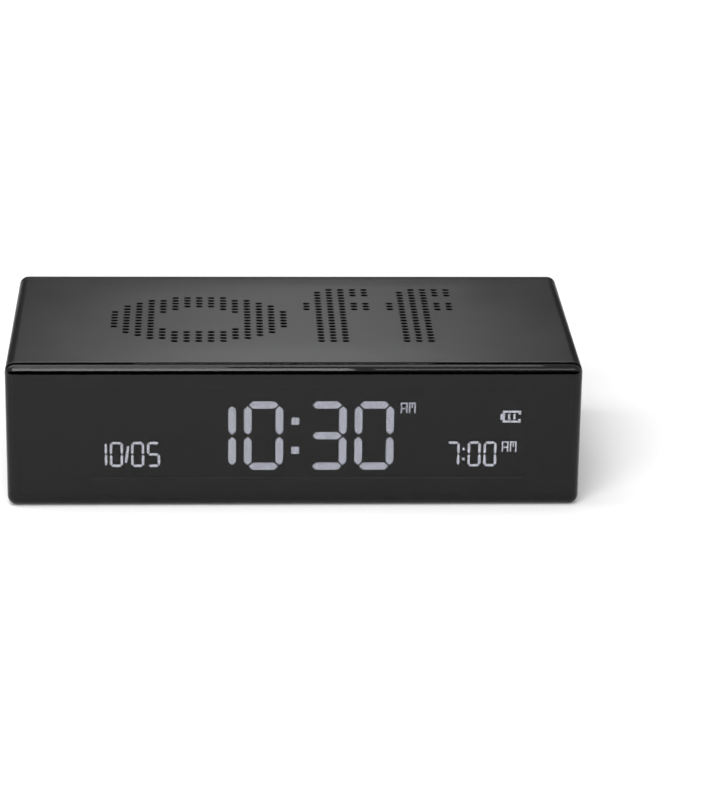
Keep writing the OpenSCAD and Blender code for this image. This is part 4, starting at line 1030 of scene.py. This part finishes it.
screw = bmesh.new()
screw_rings = [
    ring_at(screw, circle_loop(radius), y, (0, 0))
    for radius, y in ((head_radius, 0), (thread_radius, -countersink_depth),
                      (thread_radius, tip_length - screw_length), (thread_radius / 2, -screw_length))]
loft(screw, *screw_rings)
screw.faces.new(screw_rings[-1])
recess = [ring_at(screw, cross_loop(recess_arm, recess_blade), -depth, (0, 0)) for depth in (0, recess_depth)]
loft(screw, *recess)
screw.faces.new(recess[-1])
punched_face(screw, screw_rings[0], [recess[0]])
black_steel = grained("black_steel", (0.09, 0.09, 0.095), 0.35, 5000, Metallic=1.0)
screw_mesh = close_mesh("screw", screw, black_steel)
one_screw = bpy.data.objects.new("one_screw", screw_mesh)


def screw_set_tree():
    """A copy of one screw on every point."""
    tree, given, end = geometry_tree("screw_set", ("Screw", "NodeSocketObject"), ("Material", MATERIAL))
    source = add_node(tree, "GeometryNodeObjectInfo", Object=given["Screw"])
    copies = on_points(tree, given["Geometry"], source.outputs["Geometry"])
    end_tree(tree, copies, given["Material"], end)
    return tree


screws = grow("rear_screw_set", [(x, back_y, z) for x, z in screw_middles], screw_set_tree(),
              Screw=one_screw, Material=black_steel)
bpy.data.objects.remove(one_screw)
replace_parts(add_piece("rear_screw_set", screws), "rear_screws")

# The keys
# Five round keys in soft black rubber with a rounded rim, each kept in by a flange behind the cover. A
# white sign is printed on each: clock, bell, plus, minus and light.
key_rim_radius = 0.0003
key_rim_steps = 5
flange_thickness = 0.0008
sign_thickness = 0.00002
sign_radius = 0.0022
sign_line = 0.0004
soft_rubber = grained("soft_rubber", (0.03, 0.03, 0.032), 0.6, 4500, mottle=0.25, relief=0.00002)
white_print = grained("white_print", (0.7, 0.7, 0.7), 0.5, 5000, mottle=0.15)


def key_mesh(name, middle, low_y, top_y):
    """A key turned about its own axis, from the back of its flange to the flat of its top."""
    mesh = bmesh.new()
    stations = [(key_radius + flange_width, low_y), (key_radius + flange_width, low_y + flange_thickness),
                (key_radius, low_y + flange_thickness)]
    for step in range(key_rim_steps + 1):
        drop, inset = edge_point(key_rim_radius, step, key_rim_steps)
        stations.append((key_radius - inset, top_y - drop))
    stations.append((key_radius - key_rim_radius - flat_support, top_y))
    rings = [ring_at(mesh, circle_loop(radius), y, middle) for radius, y in stations]
    loft(mesh, *rings)
    mesh.faces.new(rings[0])
    mesh.faces.new(rings[-1])
    return close_mesh(name, mesh, soft_rubber)


def bar(start, end):
    """The outline of a straight line of the sign."""
    along = (Vector(end) - Vector(start)).normalized()
    side = Vector((-along.y, along.x)) * sign_line / 2
    return [Vector(start) + side, Vector(start) - side, Vector(end) - side, Vector(end) + side]


def arc(radius, first, last, middle=(0.0, 0.0), steps=24):
    """Points along part of a circle, in turns from the right."""
    turns = [math.tau * (first + (last - first) * i / steps) for i in range(steps + 1)]
    return [Vector((middle[0] + radius * math.cos(t), middle[1] + radius * math.sin(t))) for t in turns]


def band(radius, first=0.0, last=1.0):
    """The outline of a curved line of the sign."""
    return arc(radius, first, last) + list(reversed(arc(radius - sign_line, first, last)))


def clock_sign():
    """A ring with two hands."""
    long_hand = sign_radius * 0.6
    short_hand = sign_radius * 0.45
    return [band(sign_radius), bar((0, -sign_line / 2), (0, long_hand)), bar((0, 0), (short_hand, 0))]


def bell_sign():
    """A dome on a wider skirt, with a clapper below."""
    skirt = sign_radius * 0.75
    waist = skirt * 0.8
    dome_middle = (0, sign_radius * 0.2)
    dome = arc(waist, 0.0, 0.5, dome_middle)
    body = [Vector((skirt, -waist)), *dome, Vector((-skirt, -waist))]
    return [body, arc(sign_line, 0.5, 1.0, (0, -skirt))]


def plus_sign():
    """A level bar with one above and one below it."""
    return minus_sign() + [bar((0, side * sign_line / 2), (0, side * sign_radius)) for side in (1, -1)]


def minus_sign():
    """A level bar."""
    return [bar((-sign_radius, 0), (sign_radius, 0))]


def light_sign():
    """A disc with eight rays."""
    rays = 8
    ray_start = 0.65
    disc_radius = sign_radius * 0.45
    disc = arc(disc_radius, 0.0, 1.0)[:-1]
    ray_ends = arc(sign_radius, 0.0, 1.0, steps=rays)[:-1]
    return [disc, *[bar(end * ray_start, end) for end in ray_ends]]


def sign_mesh(name, outlines, middle, low_y):
    """Flat outlines of ink on the top of a key, which is read from behind the clock."""
    mesh = bmesh.new()
    for outline in outlines:
        mirrored = [(-point[0], point[1]) for point in outline]
        rings = [ring_at(mesh, mirrored, y, middle) for y in (low_y, low_y + sign_thickness)]
        loft(mesh, *rings)
        for ring in rings:
            punched_face(mesh, ring, [])
    return close_mesh(name, mesh, white_print)


signs = {"clock": clock_sign, "bell": bell_sign, "plus": plus_sign, "minus": minus_sign, "light": light_sign}
for name in key_names:
    key_low, key_high = key_boxes[name]
    body_name = "key_" + name + "_body"
    key = key_mesh("key", key_middles[name], key_low.y, key_high.y)
    ink = sign_mesh("sign", signs[name](), key_middles[name], key_high.y)
    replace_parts(add_piece("rubber_key_" + name, key, body_name), "key_" + name)
    add_piece("sign_" + name, ink, body_name)
